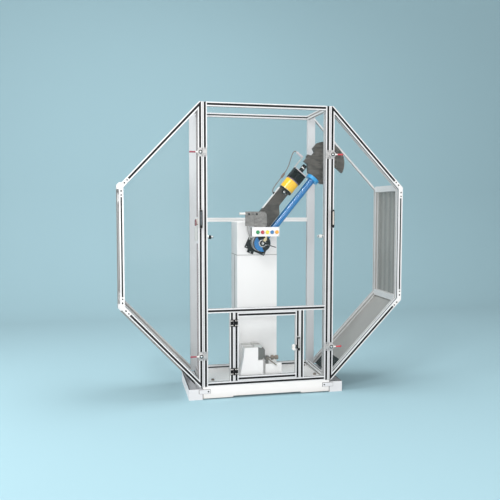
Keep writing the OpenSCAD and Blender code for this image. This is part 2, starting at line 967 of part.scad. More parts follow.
// A facing pair of round light sensors on the front posts
module light_sensors() {
    y = post_back_y - half;
    z = pivot_z + 49;
    color("silver")
        both_sides() {
            rod_x(post_in_x - 45, post_in_x, y, z, 18);
            rod_x(post_in_x - 6, post_in_x, y, z, 27);
        }
}

module interlock_switch() {
    x1 = -post_out_x;
    z0 = handle_z - 150;
    color("darkslategray") {
        box([x1 - 45, fixed_y + 3, z0], [x1, fixed_y + profile - 4, z0 + 110]);
        box([x1 - 42, fixed_y + 5, z0 + 110], [x1 - 4, fixed_y + profile - 6, z0 + 150]);
    }
}

module pendulum_shaft() {
    color("silver")
        rod_y(0, hub_front + 10, column_back + 4, pivot_z, shaft_d);
}

// The hub is bored for the shaft, has a socket for the tube and a spigot for the pointer
module pendulum_hub() {
    color("dodgerblue")
        difference() {
            union() {
                rod_y(0, hub_front, hub_back, pivot_z, 2 * hub_r);
                rod_y(0, pointer_y - pointer_t - 1, hub_front, pivot_z, 28);
            }
            rod_y(0, hub_front + 10, hub_back + 1, pivot_z, shaft_d + 2 * seat_gap);
            raised()
                rod_x(38, hub_r + 10, 0, 0, tube_d + 2 * seat_gap);
        }
}

module pendulum_tube() {
    color("dodgerblue")
        raised() {
            difference() {
                rod_x(38, tube_end, 0, 0, tube_d);
                rod_x(46, tube_end - 8, 0, 0, tube_d - 10);
            }
            rod_x(tube_end, tube_end + flange_t, 0, 0, flange_d);
        }
}

// The disc has a neck under the flange, a mouth on its striking side, a notch, and a flat with a lug on it
module hammer() {
    neck = tube_end + flange_t;
    color("dimgray")
        raised()
            xz_prism(-hammer_t / 2, hammer_t / 2) {
                difference() {
                    union() {
                        translate([disc_s, disc_t])
                            circle(r = hammer_r, $fn = 128);
                        translate([neck, -42])
                            square([80, 84]);
                    }
                    translate([lug_s, lug_t])
                        polygon([[-100, -100], [100, 100], [-100, 100]]);
                    translate([lug_s, latch_t])
                        polygon([[58, 33], [69, 12], [101, 9], [113, 36], [113, 80], [58, 80]]);
                    polygon([[lug_s, latch_t + 38], [strike_r + 70, latch_t + 38],
                        [strike_r + 20, latch_t + 80], [lug_s, latch_t + 80]]);
                    polygon([[strike_r - 8, 22], [strike_r + 26, 22], [strike_r + 26, -hammer_r - 10],
                        [strike_r - 62, -hammer_r - 10], [strike_r - 62, -70]]);
                    translate([0, -hammer_r])
                        square([neck, 2 * hammer_r]);
                }
                translate([-joint_gap / 2, joint_gap / 2])
                    polygon([[lug_s, lug_t], [lug_s + 34, lug_t + 34], [lug_s, lug_t + 34]]);
            }
}

// The striker is a wedge with a rounded edge, seated in the mouth
module striker() {
    w = hammer_t / 2;
    color("silver")
        raised()
            translate([strike_r - 6, 0, 0])
                rotate([90, 0, 90])
                    linear_extrude(30)
                        intersection() {
                            polygon([[-w, 22], [-w, 18], [-2, 0], [2, 0], [w, 18], [w, 22]]);
                            square([hammer_t, 44], center = true);
                        }
}

module hub_cap() {
    y1 = pointer_y - pointer_t - 1;
    color("black")
        rod_y(0, y1 - 7, y1, pivot_z, 40);
}

// The pointer turns on the hub's spigot
module pointer() {
    y1 = pointer_y;
    color("silver")
        translate([0, 0, pivot_z])
            rotate([0, 17, 0])
                difference() {
                    union() {
                        rod_y(0, y1 - pointer_t, y1, 0, 56);
                        xz_prism(y1 - pointer_t, y1)
                            polygon([[20, -5], [pointer_len, -1], [pointer_len, 1], [20, 5]]);
                    }
                    rod_y(0, y1 - pointer_t - 1, y1 + 1, 0, 28 + 2 * run_gap);
                }
}

module wing_window() {
    inset = half - seat;
    xz_prism(window_y - window_t / 2, window_y + window_t / 2)
        intersection() {
            polygon([for (i = [0 : 3]) ring_point(WING, i, inset)]);
            translate([0, door_low_z])
                square([guard_w, guard_top - door_low_z]);
        }
}

// A flat plate that follows a bend of the door, with two screw holes on each leg
module bend_plate(p, q, r) {
    difference() {
        intersection() {
            union()
                for (e = [p, r])
                    translate(q)
                        rotate(atan2(e[1] - q[1], e[0] - q[0]))
                            translate([-3, -half + 2])
                                square([75, profile - 4]);
            translate([0, door_low_z + 2])
                square([guard_w / 2 - 1, guard_top - door_low_z - 4]);
        }
        for (e = [p, r])
            for (u = [34, 58])
                translate(q + u * unit(e - q))
                    circle(d = 8);
    }
}

// A bow handle on the front face, from z0 to z1
module bow_handle(x, z0, z1) {
    for (z = [z0 + handle_d / 2, z1 - handle_d / 2])
        rod_y(x, front_y - handle_out, front_y, z, handle_d);
    rod_z(x, front_y - handle_out, z0, z1, handle_d);
}

// Corner plates, hinges, pull handle and the posts of the two clamps, on the right wing
module wing_fittings(clamp_lo_z) {
    xz_prism(front_y - 3, front_y)
        for (i = [1 : 2])
            bend_plate(WING[i - 1], WING[i], WING[i + 1]);
    for (z = wing_hinges)
        wing_hinge_moving(z);
    bow_handle(stile_x, handle_z - handle_len / 2, handle_z + handle_len / 2);
    for (z = [clamp_lo_z, clamp_hi_z]) {
        box([stile_x - half + 1, clamp_y, z - clamp_base_h / 2],
            [stile_x + half - 1, front_y, z + clamp_base_h / 2]);
        rod_y(stile_x, clamp_y - 12, clamp_y, z, 12);
    }
}

module left_door_frame() {
    color("gainsboro")
        mirror([1, 0, 0])
            wing_ring(front_y);
}

module left_door_window() {
    color([0.8, 0.9, 0.95, 0.3])
        mirror([1, 0, 0])
            wing_window();
}

module left_door_fittings() {
    color("dimgray")
        mirror([1, 0, 0])
            wing_fittings(clamp_left_z);
}

module right_door_frame() {
    color("gainsboro")
        wing_ring(front_y);
}

module right_door_window() {
    color([0.8, 0.9, 0.95, 0.3])
        wing_window();
}

module right_door_fittings() {
    color("silver")
        wing_fittings(clamp_right_z);
}

// A clamp lever on the right wing: its finger lies over the post and its red tail points outwards
module clamp_lever(z) {
    y1 = clamp_y - 1;
    y0 = y1 - 9;
    difference() {
        union() {
            rod_y(stile_x, y0, y1, z, 28);
            box([post_in_x + 4, y0, z - 8], [stile_x, y1, z + 8]);
            rod_x(stile_x + 10, stile_x + clamp_tail, (y0 + y1) / 2, z, 10);
        }
        rod_y(stile_x, y0 - 1, y1 + 1, z, 12 + 2 * run_gap);
    }
}

module clamp_left_upper() {
    color("indianred")
        mirror([1, 0, 0])
            clamp_lever(clamp_hi_z);
}

module clamp_left_lower() {
    color("indianred")
        mirror([1, 0, 0])
            clamp_lever(clamp_left_z);
}

module clamp_right_upper() {
    color("indianred")
        clamp_lever(clamp_hi_z);
}

module clamp_right_lower() {
    color("indianred")
        clamp_lever(clamp_right_z);
}

module access_door_frame() {
    x = access_x - half;
    color("gainsboro") {
        both_sides()
            bar_z(x, window_y, access_bot, access_top);
        for (z = [access_bot + half, access_top - half])
            bar_x(-access_x + profile + joint_gap, access_x - profile - joint_gap, window_y, z);
    }
}

module access_door_window() {
    color([0.8, 0.9, 0.95, 0.3])
        window(-access_x + profile, access_x - profile, access_bot + profile, access_top - profile, window_y);
}

turn_x = access_x - 46;
turn_z = access_bot + 223;
module access_door_fittings() {
    z = access_bot + 251;
    color("dimgray") {
        for (h = access_hinges)
            translate([access_pin_x, access_pin_y, h])
                hinge_moving(access_back);
        bow_handle(access_x - half, z - access_handle_len / 2, z + access_handle_len / 2);
        difference() {
            box([turn_x - 16, front_y - 4, turn_z - 16], [access_x - 24, front_y, turn_z + 16]);
            rod_y(turn_x, front_y - 5, front_y + 1, turn_z, 10 + 2 * run_gap);
        }
    }
}

// The two-lobed thumb turn on its spindle
module access_door_latch() {
    y1 = front_y - 5;
    color("white") {
        rod_y(turn_x, y1, front_y + 4, turn_z, 10);
        xz_prism(y1 - 9, y1)
            for (z = [-11, 11])
                translate([turn_x, turn_z + z])
                    circle(d = 22);
        box([turn_x - 7, y1 - 9, turn_z - 11], [turn_x + 7, y1, turn_z + 11]);
    }
}

base_frame();
base_plate();
base_bolts();
machine() column();
machine() column_head();
front_posts();
front_beams();
rear_posts();
rear_beams();
front_wing_frames();
rear_wing_frames();
depth_beams();
fixed_windows();
side_sheets();
lower_aprons();
guard_hinges();
machine() bearing_ring();
machine() sensor_plate();
machine() shaft_bearings();
machine() arm_bracket();
machine() latch_arm();
machine() release_solenoid();
machine() latch_yoke();
machine() latch_lead();
machine() sensor_lead();
machine() button_box();
machine() anvil_pedestal();
machine() specimen_anvils();
machine() centring_slide();
light_sensors();
interlock_switch();
machine() pendulum_shaft();
machine() pendulum_hub();
machine() pendulum_tube();
machine() hammer();
machine() striker();
machine() hub_cap();
machine() pointer();
machine() latch_plunger();
left_door_frame();
left_door_window();
left_door_fittings();
right_door_frame();
right_door_window();
right_door_fittings();
access_door_frame();
access_door_window();
access_door_fittings();
access_door_latch();
clamp_left_upper();
clamp_left_lower();
clamp_right_upper();
clamp_right_lower();
machine() button_green();
machine() button_red();
machine() button_yellow();
machine() button_blue();
machine() button_orange();
machine() centring_knob();
machine() centring_lever();
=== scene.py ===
import bpy, bmesh, math
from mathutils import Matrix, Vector


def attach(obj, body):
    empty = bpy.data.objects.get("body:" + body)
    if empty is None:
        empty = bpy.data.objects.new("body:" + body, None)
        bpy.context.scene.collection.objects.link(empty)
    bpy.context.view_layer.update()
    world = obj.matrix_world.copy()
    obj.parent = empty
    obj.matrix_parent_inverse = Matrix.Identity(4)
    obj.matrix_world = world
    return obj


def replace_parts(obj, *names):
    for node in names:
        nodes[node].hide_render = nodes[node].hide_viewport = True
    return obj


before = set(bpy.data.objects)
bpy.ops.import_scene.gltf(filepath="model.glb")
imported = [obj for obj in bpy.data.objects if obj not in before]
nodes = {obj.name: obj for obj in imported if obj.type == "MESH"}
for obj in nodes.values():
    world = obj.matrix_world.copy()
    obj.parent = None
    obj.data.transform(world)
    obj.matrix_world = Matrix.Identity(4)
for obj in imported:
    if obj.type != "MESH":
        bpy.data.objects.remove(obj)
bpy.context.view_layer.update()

# ---------------------------------------------------------------- places, in millimetres
# The machine's middle, the pivot, the plane the pendulum swings in and the angle it is raised to
MACHINE_X = -17.5
PIVOT_Z = 1085
PLANE_Y = -130
RAISE = math.radians(50.5)
# The guard's front face, the wing doors' inner stiles and the bends of a wing
FRONT_Y = -250
STILE_X = 472.5
WING = [(472.5, 103), (1003, 665), (1003, 1481), (472.5, 2043)]
DOORS = ((-1, "left_door"), (1, "right_door"))
WING_HINGE_Z = (743, 1403)
ACCESS_HINGE_Z = (187, 532)
CLAMPS = {"clamp_left_upper": (-1, 1717), "clamp_left_lower": (-1, 308),
          "clamp_right_upper": (1, 1717), "clamp_right_lower": (1, 335)}
CLAMP_SCREWS = (-23, 23)
# The foot and direction of the sloped sheets, the width of the black aprons on them, and how far
# the aprons' flaps reach past it
SLOPE_FOOT = (508.6, 96.1)
SLOPE_RUN = (0.6867, 0.7267)
APRON, FLAP = 90, 44
# The button box's front and its five buttons
BOX_FRONT = -206
BUTTON_Z = 1166
BUTTON_X = [MACHINE_X - 43 + 34.8 * i for i in range(5)]
# Beside the raised pendulum: the axis of the can and plunger, and the plunger's collars
CAN_T = 105
COLLAR = 606
# The light sensors' axis, and that of the centring slide
SENSOR_Y, SENSOR_Z = -205, 1134
SLIDE_Y, SLIDE_Z = -173, 256


def mm(x, y, z):
    return Vector((x, y, z)) / 1000


def arm(s, y, t):
    """A point beside the raised pendulum: s along it, t to its upper left."""
    c, d = math.cos(RAISE), math.sin(RAISE)
    return mm(MACHINE_X + s * c - t * d, PLANE_Y + y, PIVOT_Z + s * d + t * c)


def along(c):
    """How far a point lies along the raised pendulum and to its upper left, in mm."""
    x, z = c.x * 1000 - MACHINE_X, c.z * 1000 - PIVOT_Z
    return (x * math.cos(RAISE) + z * math.sin(RAISE), z * math.cos(RAISE) - x * math.sin(RAISE))


def from_pivot(c):
    """Distance of a point from the pivot's axis, in mm."""
    return math.hypot(c.x * 1000 - MACHINE_X, c.z * 1000 - PIVOT_Z)


# ---------------------------------------------------------------- materials
def material(name, base, rough=0.4, metal=0.0, **sockets):
    m = bpy.data.materials.new(name)
    m.use_nodes = True
    b = m.node_tree.nodes["Principled BSDF"]
    b.inputs["Base Color"].default_value = (*base, 1)
    b.inputs["Roughness"].default_value = rough
    b.inputs["Metallic"].default_value = metal
    for k, v in sockets.items():
        b.inputs[k.replace("_", " ")].default_value = v
    m.diffuse_color = (*base, 1)
    return m


def new(m, kind, **sets):
    n = m.node_tree.nodes.new(kind)
    for k, v in sets.items():
        setattr(n, k, v)
    return n


def link(m, a, b):
    m.node_tree.links.new(a, b)


def shader(m):
    return m.node_tree.nodes["Principled BSDF"]


def gloss(m, level):
    shader(m).inputs["Specular IOR Level"].default_value = level


def place(m, scale=(1, 1, 1), turn=(0, 0, 0), move=(0, 0, 0)):
    """Object coordinates, stretched; an object's are metres in the shared frame."""
    c = new(m, "ShaderNodeTexCoord")
    p = new(m, "ShaderNodeMapping")
    p.inputs["Scale"].default_value = scale
    p.inputs["Rotation"].default_value = turn
    p.inputs["Location"].default_value = move
    link(m, c.outputs["Object"], p.inputs["Vector"])
    return p.outputs["Vector"]


def noise(m, vector, scale, detail=3.0, rough=0.5):
    n = new(m, "ShaderNodeTexNoise")
    n.inputs["Scale"].default_value = scale
    n.inputs["Detail"].default_value = detail
    n.inputs["Roughness"].default_value = rough
    link(m, vector, n.inputs["Vector"])
    return n.outputs["Fac"]


def spread(m, fac, lo, hi, a=0.3, b=0.7):
    r = new(m, "ShaderNodeMapRange")
    for k, v in (("From Min", a), ("From Max", b), ("To Min", lo), ("To Max", hi)):
        r.inputs[k].default_value = v
    link(m, fac, r.inputs["Value"])
    return r.outputs["Result"]


def tint(m, fac, dark, light):
    """The base colour runs between two colours, over what is there already."""
    x = new(m, "ShaderNodeMix", data_type="RGBA")
    x.inputs[6].default_value = (*dark, 1)
    x.inputs[7].default_value = (*light, 1)
    link(m, fac, x.inputs[0])
    b = shader(m).inputs["Base Color"]
    if b.is_linked:
        over = new(m, "ShaderNodeMix", data_type="RGBA", blend_type="MULTIPLY")
        over.inputs[0].default_value = 1
        link(m, b.links[0].from_socket, over.inputs[6])
        link(m, x.outputs[2], over.inputs[7])
        link(m, over.outputs[2], b)
    else:
        link(m, x.outputs[2], b)


def bump(m, height, distance, strength=1.0):
    n = new(m, "ShaderNodeBump")
    n.inputs["Strength"].default_value = strength
    n.inputs["Distance"].default_value = distance
    link(m, height, n.inputs["Height"])
    b = shader(m).inputs["Normal"]
    if b.is_linked:
        link(m, b.links[0].from_socket, n.inputs["Normal"])
    link(m, n.outputs["Normal"], b)


def shade(c, k):
    return tuple(min(1.0, x * k) for x in c)


def paint(name, base, rough=0.35, peel=0.00012, coat=0.0, vary=0.03, grain=260):
    """Sprayed paint: an orange-peel skin, faint cloudiness and uneven gloss."""
    m = material(name, base, rough)
    s = shader(m)
    s.inputs["Coat Weight"].default_value = coat
    s.inputs["Coat Roughness"].default_value = 0.12
    v = place(m)
    tint(m, spread(m, noise(m, v, 9, 4), 0, 1), shade(base, 1 - vary), shade(base, 1 + vary))
    link(m, spread(m, noise(m, v, 40, 3), rough * 0.86, rough * 1.18), s.inputs["Roughness"])
    bump(m, noise(m, v, grain, 2), peel)
    return m


def brushed(name, base, rough, metal, turn=(0, 0, 0), long=6.0, across=700.0, depth=0.00004,
            vary=0.05):
    """Metal drawn or ground along its local X: long streaks in tone, gloss and relief."""
    m = material(name, base, rough, metal)
    v = place(m, (long, across, across), turn)
    streak = noise(m, v, 1.0, 3, 0.6)
    tint(m, spread(m, streak, 0, 1), shade(base, 1 - vary), shade(base, 1 + vary))
    cloud = noise(m, place(m), 14, 3)
    tint(m, spread(m, cloud, 0, 1), (0.96, 0.96, 0.96), (1, 1, 1))
    link(m, spread(m, streak, rough * 0.85, rough * 1.2), shader(m).inputs["Roughness"])
    bump(m, streak, depth, 0.6)
    return m


# A wave texture's scale times its period in metres
WAVE = 0.314


def turned(name, base, rough, metal, centre, axis, pitch=0.0012):
    """Metal turned on a lathe: fine rings round an axis through the centre."""
    m = material(name, base, rough, metal)
    v = place(m, move=[-c for c in centre])
    w = new(m, "ShaderNodeTexWave", wave_type="RINGS", rings_direction=axis)
    w.inputs["Scale"].default_value = WAVE / pitch
    w.inputs["Distortion"].default_value = 0.6
    w.inputs["Detail"].default_value = 1
    link(m, v, w.inputs["Vector"])
    rings = w.outputs["Fac"]
    tint(m, rings, shade(base, 0.93), shade(base, 1.05))
    link(m, spread(m, rings, rough * 0.9, rough * 1.15, 0, 1), shader(m).inputs["Roughness"])
    bump(m, rings, 0.00005, 0.5)
    return m


def plastic(name, base, rough, grain=0.00006, scale=900, coat=0.0):
    """Moulded plastic with a fine eroded grain."""
    m = material(name, base, rough)
    s = shader(m)
    s.inputs["Coat Weight"].default_value = coat
    s.inputs["Coat Roughness"].default_value = 0.08
    v = place(m)
    tint(m, spread(m, noise(m, v, 30, 3), 0, 1), shade(base, 0.94), shade(base, 1.05))
    link(m, spread(m, noise(m, v, 160, 3), rough * 0.88, rough * 1.15), s.inputs["Roughness"])
    bump(m, noise(m, v, scale, 2), grain)
    return m


ALU = (0.79, 0.795, 0.80)
_bars = {}


def profile_mat(angle):
    """Anodised extrusion with die lines along it; angle is in the X-Z plane, None along Y."""
    key = "y" if angle is None else "%d" % round(math.degrees(angle))
    if key not in _bars:
        turn = (0, 0, -math.pi / 2) if angle is None else (0, angle, 0)
        _bars[key] = brushed("profile_" + key.replace("-", "m"), ALU, 0.4, 0.2, turn,
                             3.0, 520.0, 0.00003, 0.025)
    return _bars[key]


NO_TURN = (0, 0, 0)
# The slots, and the holes in the base's tabs, are painted near black as the shade inside them; the
# slots of the frames further back are painted a softer grey as lighter shade
RECESS_SHADE = plastic("slot_painted_shade", (0.012, 0.012, 0.013), 0.62)
SOFT_RECESS_SHADE = plastic("slot_soft_painted_shade", (0.50, 0.48, 0.46), 0.6)
WHITE = paint("white_paint", (0.93, 0.93, 0.925), 0.36, 0.00014, 0.15, 0.012)
PALE = paint("pale_profile", (0.68, 0.70, 0.72), 0.42, 0.0001, 0.0, 0.015)
# The base is a little darker towards the floor
BASE = paint("white_base", (0.85, 0.85, 0.84), 0.4, 0.00016, 0.1, 0.015)
low = new(BASE, "ShaderNodeSeparateXYZ")
link(BASE, place(BASE), low.inputs[0])
tint(BASE, spread(BASE, low.outputs["Z"], 0, 1, 0.0, 0.05), (0.86, 0.85, 0.83), (1, 1, 1))
# The feet: the base's paint with shade painted in, a bluer grey
FOOT_SHADE = paint("foot_painted_shade", (0.71, 0.725, 0.745), 0.42, 0.00016, 0.1, 0.02)
CLEAR = material("clear", (0.22, 0.31, 0.32), 0.06, 0.0, IOR=1.45, Alpha=0.04)
link(CLEAR, spread(CLEAR, noise(CLEAR, place(CLEAR), 7, 4), 0.03, 0.12),
     shader(CLEAR).inputs["Roughness"])
# The upright sheets have shallow upright ribs in relief; their light and shade are painted into the
# colour as bands
SHEET = paint("grey_sheet", (0.315, 0.325, 0.31), 0.45, 0.00008, 0.0, 0.04)
RIB_PITCH = 0.085
ribs = new(SHEET, "ShaderNodeTexWave", wave_type="BANDS", bands_direction="Y", wave_profile="SIN")
ribs.inputs["Scale"].default_value = WAVE / RIB_PITCH
ribs.inputs["Distortion"].default_value = 0.0
link(SHEET, place(SHEET), ribs.inputs["Vector"])
tint(SHEET, ribs.outputs["Fac"], (0.74, 0.74, 0.74), (1, 1, 1))
bump(SHEET, ribs.outputs["Fac"], 0.006, 0.9)
SLOPE = paint("slope_sheet", (0.345, 0.34, 0.325), 0.45, 0.0001, 0.0, 0.05)
BLACK = plastic("black_plastic", (0.009, 0.009, 0.0095), 0.5, 0.00008, 700)
gloss(BLACK, 0.15)
# The feet's tops, painted dark grey as the shade on them
FOOT_TOP_SHADE = plastic("foot_top_painted_shade", (0.13, 0.13, 0.135), 0.6)
RUBBER = plastic("black_apron", (0.012, 0.012, 0.0125), 0.6, 0.0002, 260)
gloss(RUBBER, 0.15)
# Dark machined pieces are mottled
DARK = paint("dark_metal", (0.086, 0.075, 0.066), 0.5, 0.0004, 0.0, 0.12, 190)
HAMMER = brushed("hammer_steel", (0.138, 0.122, 0.108), 0.46, 0.3, (0, RAISE, 0),
                 10.0, 420.0, 0.00006, 0.16)
BRACKET = brushed("bracket_grey", (0.265, 0.257, 0.245), 0.5, 0.2, NO_TURN,
                  8.0, 380.0, 0.00004, 0.07)
for m, deep in ((DARK, 0.5), (HAMMER, 0.5), (BRACKET, 0.66)):
    mottle = noise(m, place(m, (1, 1, 2.2), (0, RAISE, 0)), 22, 6, 0.7)
    tint(m, spread(m, mottle, 0, 1, 0.4, 0.58), (deep, deep, deep), (1, 1, 1))
    gloss(m, 0.3)
STEEL = brushed("steel", (0.60, 0.60, 0.59), 0.28, 0.95, NO_TURN, 12.0, 640.0, 0.00003, 0.06)
CHROME = brushed("bright_steel", (0.74, 0.74, 0.73), 0.2, 0.95, NO_TURN,
                 20.0, 500.0, 0.00002, 0.04)
RING = turned("light_ring", (0.72, 0.73, 0.74), 0.34, 0.7,
              (MACHINE_X / 1000, 0, PIVOT_Z / 1000), "Y")
BLUE = paint("blue_paint", (0.003, 0.17, 0.46), 0.22, 0.00002, 1.0, 0.05)
# The flange: the tube's blue with painted light
FLANGE_LIT_BLUE = paint("blue_flange_painted_light", (0.02, 0.33, 0.70), 0.34, 0.00006, 0.25, 0.05)
YELLOW = paint("yellow_paint", (0.97, 0.57, 0.002), 0.27, 0.00004, 1.0, 0.04)
gloss(YELLOW, 0.4)
BROWN = plastic("lead_brown", (0.19, 0.14, 0.12), 0.5)
GREY_LEAD = plastic("lead_grey", (0.52, 0.52, 0.51), 0.5)
RED = plastic("red_grip", (0.56, 0.045, 0.06), 0.35, coat=0.3)
# The left clamps' red, painted darker as shade
RED_SHADED = plastic("red_grip_painted_shade", (0.30, 0.04, 0.065), 0.35, coat=0.2)
CREAM = plastic("white_plastic", (0.84, 0.83, 0.80), 0.35, coat=0.2)
BRASS = brushed("brass", (0.72, 0.60, 0.33), 0.3, 0.8, NO_TURN, 10.0, 500.0, 0.00003, 0.06)
GRIP = plastic("handle_dark", (0.075, 0.078, 0.08), 0.45)
# The slate-blue reflection painted on the left door's grip
SLATE_REFLECTION = plastic("handle_slate_painted_reflection", (0.05, 0.07, 0.082), 0.4, coat=0.2)
GRIP_PALE = plastic("handle_pale", (0.46, 0.47, 0.46), 0.42)
GRIP_BEIGE = plastic("handle_beige", (0.56, 0.52, 0.47), 0.4, coat=0.2)
STRIP = plastic("pale_strip", (0.56, 0.52, 0.54), 0.4)
PURPLE = plastic("dusk_strip", (0.15, 0.115, 0.17), 0.45)
CLAMP = brushed("clamp_steel", (0.50, 0.495, 0.49), 0.36, 0.35, NO_TURN,
                16.0, 420.0, 0.00003, 0.1)
# A grey seal strip, painted as the shade beside the doors' stiles
SEAL_SHADE = plastic("seal_painted_shade", (0.33, 0.31, 0.315), 0.6)
SWITCH = plastic("switch_grey", (0.56, 0.58, 0.57), 0.45)
OCHRE = plastic("index_ochre", (0.66, 0.57, 0.36), 0.4)
BRONZE = brushed("brown_steel", (0.27, 0.22, 0.18), 0.34, 0.65, NO_TURN,
                 12.0, 520.0, 0.00004, 0.1)
TOP = brushed("ground_top", (0.58, 0.58, 0.56), 0.4, 0.4, NO_TURN, 12.0, 520.0, 0.00003, 0.05)
PLATE = paint("plate_white", (0.84, 0.84, 0.835), 0.38, 0.00008, 0.1, 0.012)
SLATE = brushed("ground_slate", (0.20, 0.185, 0.17), 0.36, 0.6, NO_TURN,
                12.0, 520.0, 0.00004, 0.1)
SEAM = plastic("seam", (0.10, 0.085, 0.08), 0.6)
WINE = plastic("wine_red", (0.16, 0.02, 0.03), 0.4, coat=0.2)
BUTTONS = {n: plastic("button_" + n, c, 0.25, 0.00001, coat=0.5) for n, c in (
    ("green", (0.012, 0.30, 0.09)), ("red", (0.52, 0.006, 0.025)), ("yellow", (0.90, 0.74, 0.04)),
    ("blue", (0.045, 0.205, 0.48)), ("orange", (0.94, 0.40, 0.02)))}


# ---------------------------------------------------------------- the CAD nodes' finish
def shells(obj):
    """The separate solids of a node: for each one its faces, its box and its corners."""
    me = obj.data
    key, root = {}, list(range(len(me.vertices)))

    def find(i):
        while root[i] != i:
            root[i] = root[root[i]]
            i = root[i]
        return i

    for v in me.vertices:
        k = tuple(round(c * 50000) for c in v.co)
        if k in key:
            root[find(v.index)] = find(key[k])
        key.setdefault(k, v.index)
    for p in me.polygons:
        first = find(p.vertices[0])
        for i in p.vertices[1:]:
            root[find(i)] = first
    out = {}
    for p in me.polygons:
        out.setdefault(find(p.vertices[0]), []).append(p)
    found = []
    for faces in out.values():
        pts = [me.vertices[i].co for p in faces for i in p.vertices]
        lo = Vector([min(p[k] for p in pts) for k in range(3)])
        hi = Vector([max(p[k] for p in pts) for k in range(3)])
        found.append((faces, lo, hi, pts))
    return found


def only(obj, m):
    """Leaves a node with one finish."""
    obj.data.materials.clear()
    obj.data.materials.append(m)


def index(obj, m):
    """The place of a finish among a node's, where it is added if it is new."""
    names = [x.name for x in obj.data.materials]
    if m.name not in names:
        obj.data.materials.append(m)
        names.append(m.name)
    return names.index(m.name)


def coat(name, m):
    obj = nodes[name]
    only(obj, m)
    for p in obj.data.polygons:
        p.material_index = 0
    return obj


def recolour(name, m, test):
    """Another finish for the faces of a node that pass a test."""
    obj = nodes[name]
    k = index(obj, m)
    for p in obj.data.polygons:
        if test(p):
            p.material_index = k


def corners(name, p):
    return [nodes[name].data.vertices[i].co for i in p.vertices]


# A face this close to a bar's side lies in it
FLUSH = 0.0006


def coat_bars(name, inside=RECESS_SHADE):
    """Slotted bars: die lines along each bar's own length, and slots painted dark as the shade
    inside them.
    """
    obj = nodes[name]
    only(obj, inside)
    for faces, lo, hi, pts in shells(obj):
        size = hi - lo
        if size.y > max(size.x, size.z):
            a, u, v, angle = Vector((0, 1, 0)), Vector((1, 0, 0)), Vector((0, 0, 1)), None
        else:
            # The widest faces of a bar that lies in the X-Z plane tell its direction
            wide = {}
            for p in faces:
                n = p.normal
                if abs(n.y) < 0.1:
                    k = (round(abs(n.x), 3), round(n.z * (1 if n.x > 0 else -1), 3))
                    wide[k] = wide.get(k, 0) + p.area
            k = max(wide, key=wide.get)
            v = Vector((0, 1, 0))
            u = Vector((k[0], 0, k[1])).normalized()
            a = u.cross(v)
            if a.x < -0.001 or (abs(a.x) < 0.001 and a.z < 0):
                a = -a
            angle = math.atan2(a.z, a.x)
        metal = index(obj, profile_mat(angle))
        us, vs = [p.dot(u) for p in pts], [p.dot(v) for p in pts]
        edge = [(u, min(us)), (u, max(us)), (v, min(vs)), (v, max(vs))]
        if name == "front_posts":
            edge.append((v, FRONT_Y / 1000))
        for p in faces:
            c = corners(name, p)
            outer = abs(p.normal.dot(a)) > 0.5
            for d, n in edge:
                if max(abs(k.dot(d) - n) for k in c) < FLUSH:
                    outer = True
            p.material_index = metal if outer else 0


for n in ("front_posts", "front_beams", "rear_beams", "left_door_frame", "right_door_frame",
          "access_door_frame"):
    coat_bars(n)
for n in ("front_wing_frames", "rear_wing_frames", "depth_beams"):
    coat_bars(n, SOFT_RECESS_SHADE)
# The catch plates on the posts are bare, and the beam across the back has no slots
recolour("front_posts", CLAMP,
         lambda p: min(c.y for c in corners("front_posts", p)) < FRONT_Y / 1000 - 0.0005)
recolour("rear_beams", WHITE, lambda p: 1.2 < p.center.z < 1.3)
for n, m in {
    "base_frame": BASE, "base_plate": BASE, "base_bolts": BRONZE, "column": WHITE,
    "column_head": WHITE, "rear_posts": PALE, "fixed_windows": CLEAR, "side_sheets": SHEET,
    "lower_aprons": RUBBER, "guard_hinges": BLACK, "bearing_ring": RING, "sensor_plate": BLACK,
    "shaft_bearings": STEEL, "arm_bracket": BRACKET, "latch_arm": DARK,
    "release_solenoid": YELLOW, "latch_yoke": BLACK, "latch_lead": BROWN,
    "sensor_lead": GREY_LEAD, "button_box": WHITE, "anvil_pedestal": WHITE,
    "specimen_anvils": SLATE, "centring_slide": SLATE, "light_sensors": CHROME,
    "interlock_switch": SWITCH, "pendulum_shaft": STEEL, "pendulum_hub": BLUE,
    "pendulum_tube": BLUE, "hammer": HAMMER, "striker": STEEL, "hub_cap": BLACK,
    "pointer": CHROME, "latch_plunger": BLACK, "left_door_window": CLEAR,
    "right_door_window": CLEAR, "access_door_window": CLEAR, "access_door_latch": CREAM,
    "centring_knob": BRONZE, "centring_lever": BRONZE,
}.items():
    coat(n, m)
for n, m in BUTTONS.items():
    coat("button_" + n, m)

# Door fittings: pale plates on the bends, silver hinges and clamp bases, and a grip
for name in ("left_door_fittings", "right_door_fittings"):
    obj = coat(name, CHROME)
    for faces, lo, hi, pts in shells(obj):
        size = hi - lo
        k = index(obj, PLATE if size.y < 0.004 else GRIP if lo.y < -0.28 else CLAMP)
        for p in faces:
            p.material_index = k
            at_stile = abs(abs(p.center.x) - STILE_X / 1000) < 0.03
            if at_stile and p.center.y > -0.2561 and size.z < 0.07:
                p.material_index = index(obj, CLAMP)
recolour("guard_hinges", CLAMP, lambda p: abs(p.center.x) > 0.9)
obj = coat("access_door_fittings", BLACK)
for faces, lo, hi, pts in shells(obj):
    k = index(obj, GRIP_PALE if lo.y < -0.27 else CHROME if hi.y - lo.y < 0.006 else BLACK)
    for p in faces:
        p.material_index = k
# Clamp levers: a silver finger and boss, and a red tail, painted a darker red on the left as shade
for name in CLAMPS:
    coat(name, CLAMP)
    recolour(name, RED if "right" in name else RED_SHADED,
             lambda p: min(abs(c.x) for c in corners(name, p)) > (STILE_X + 40) / 1000)
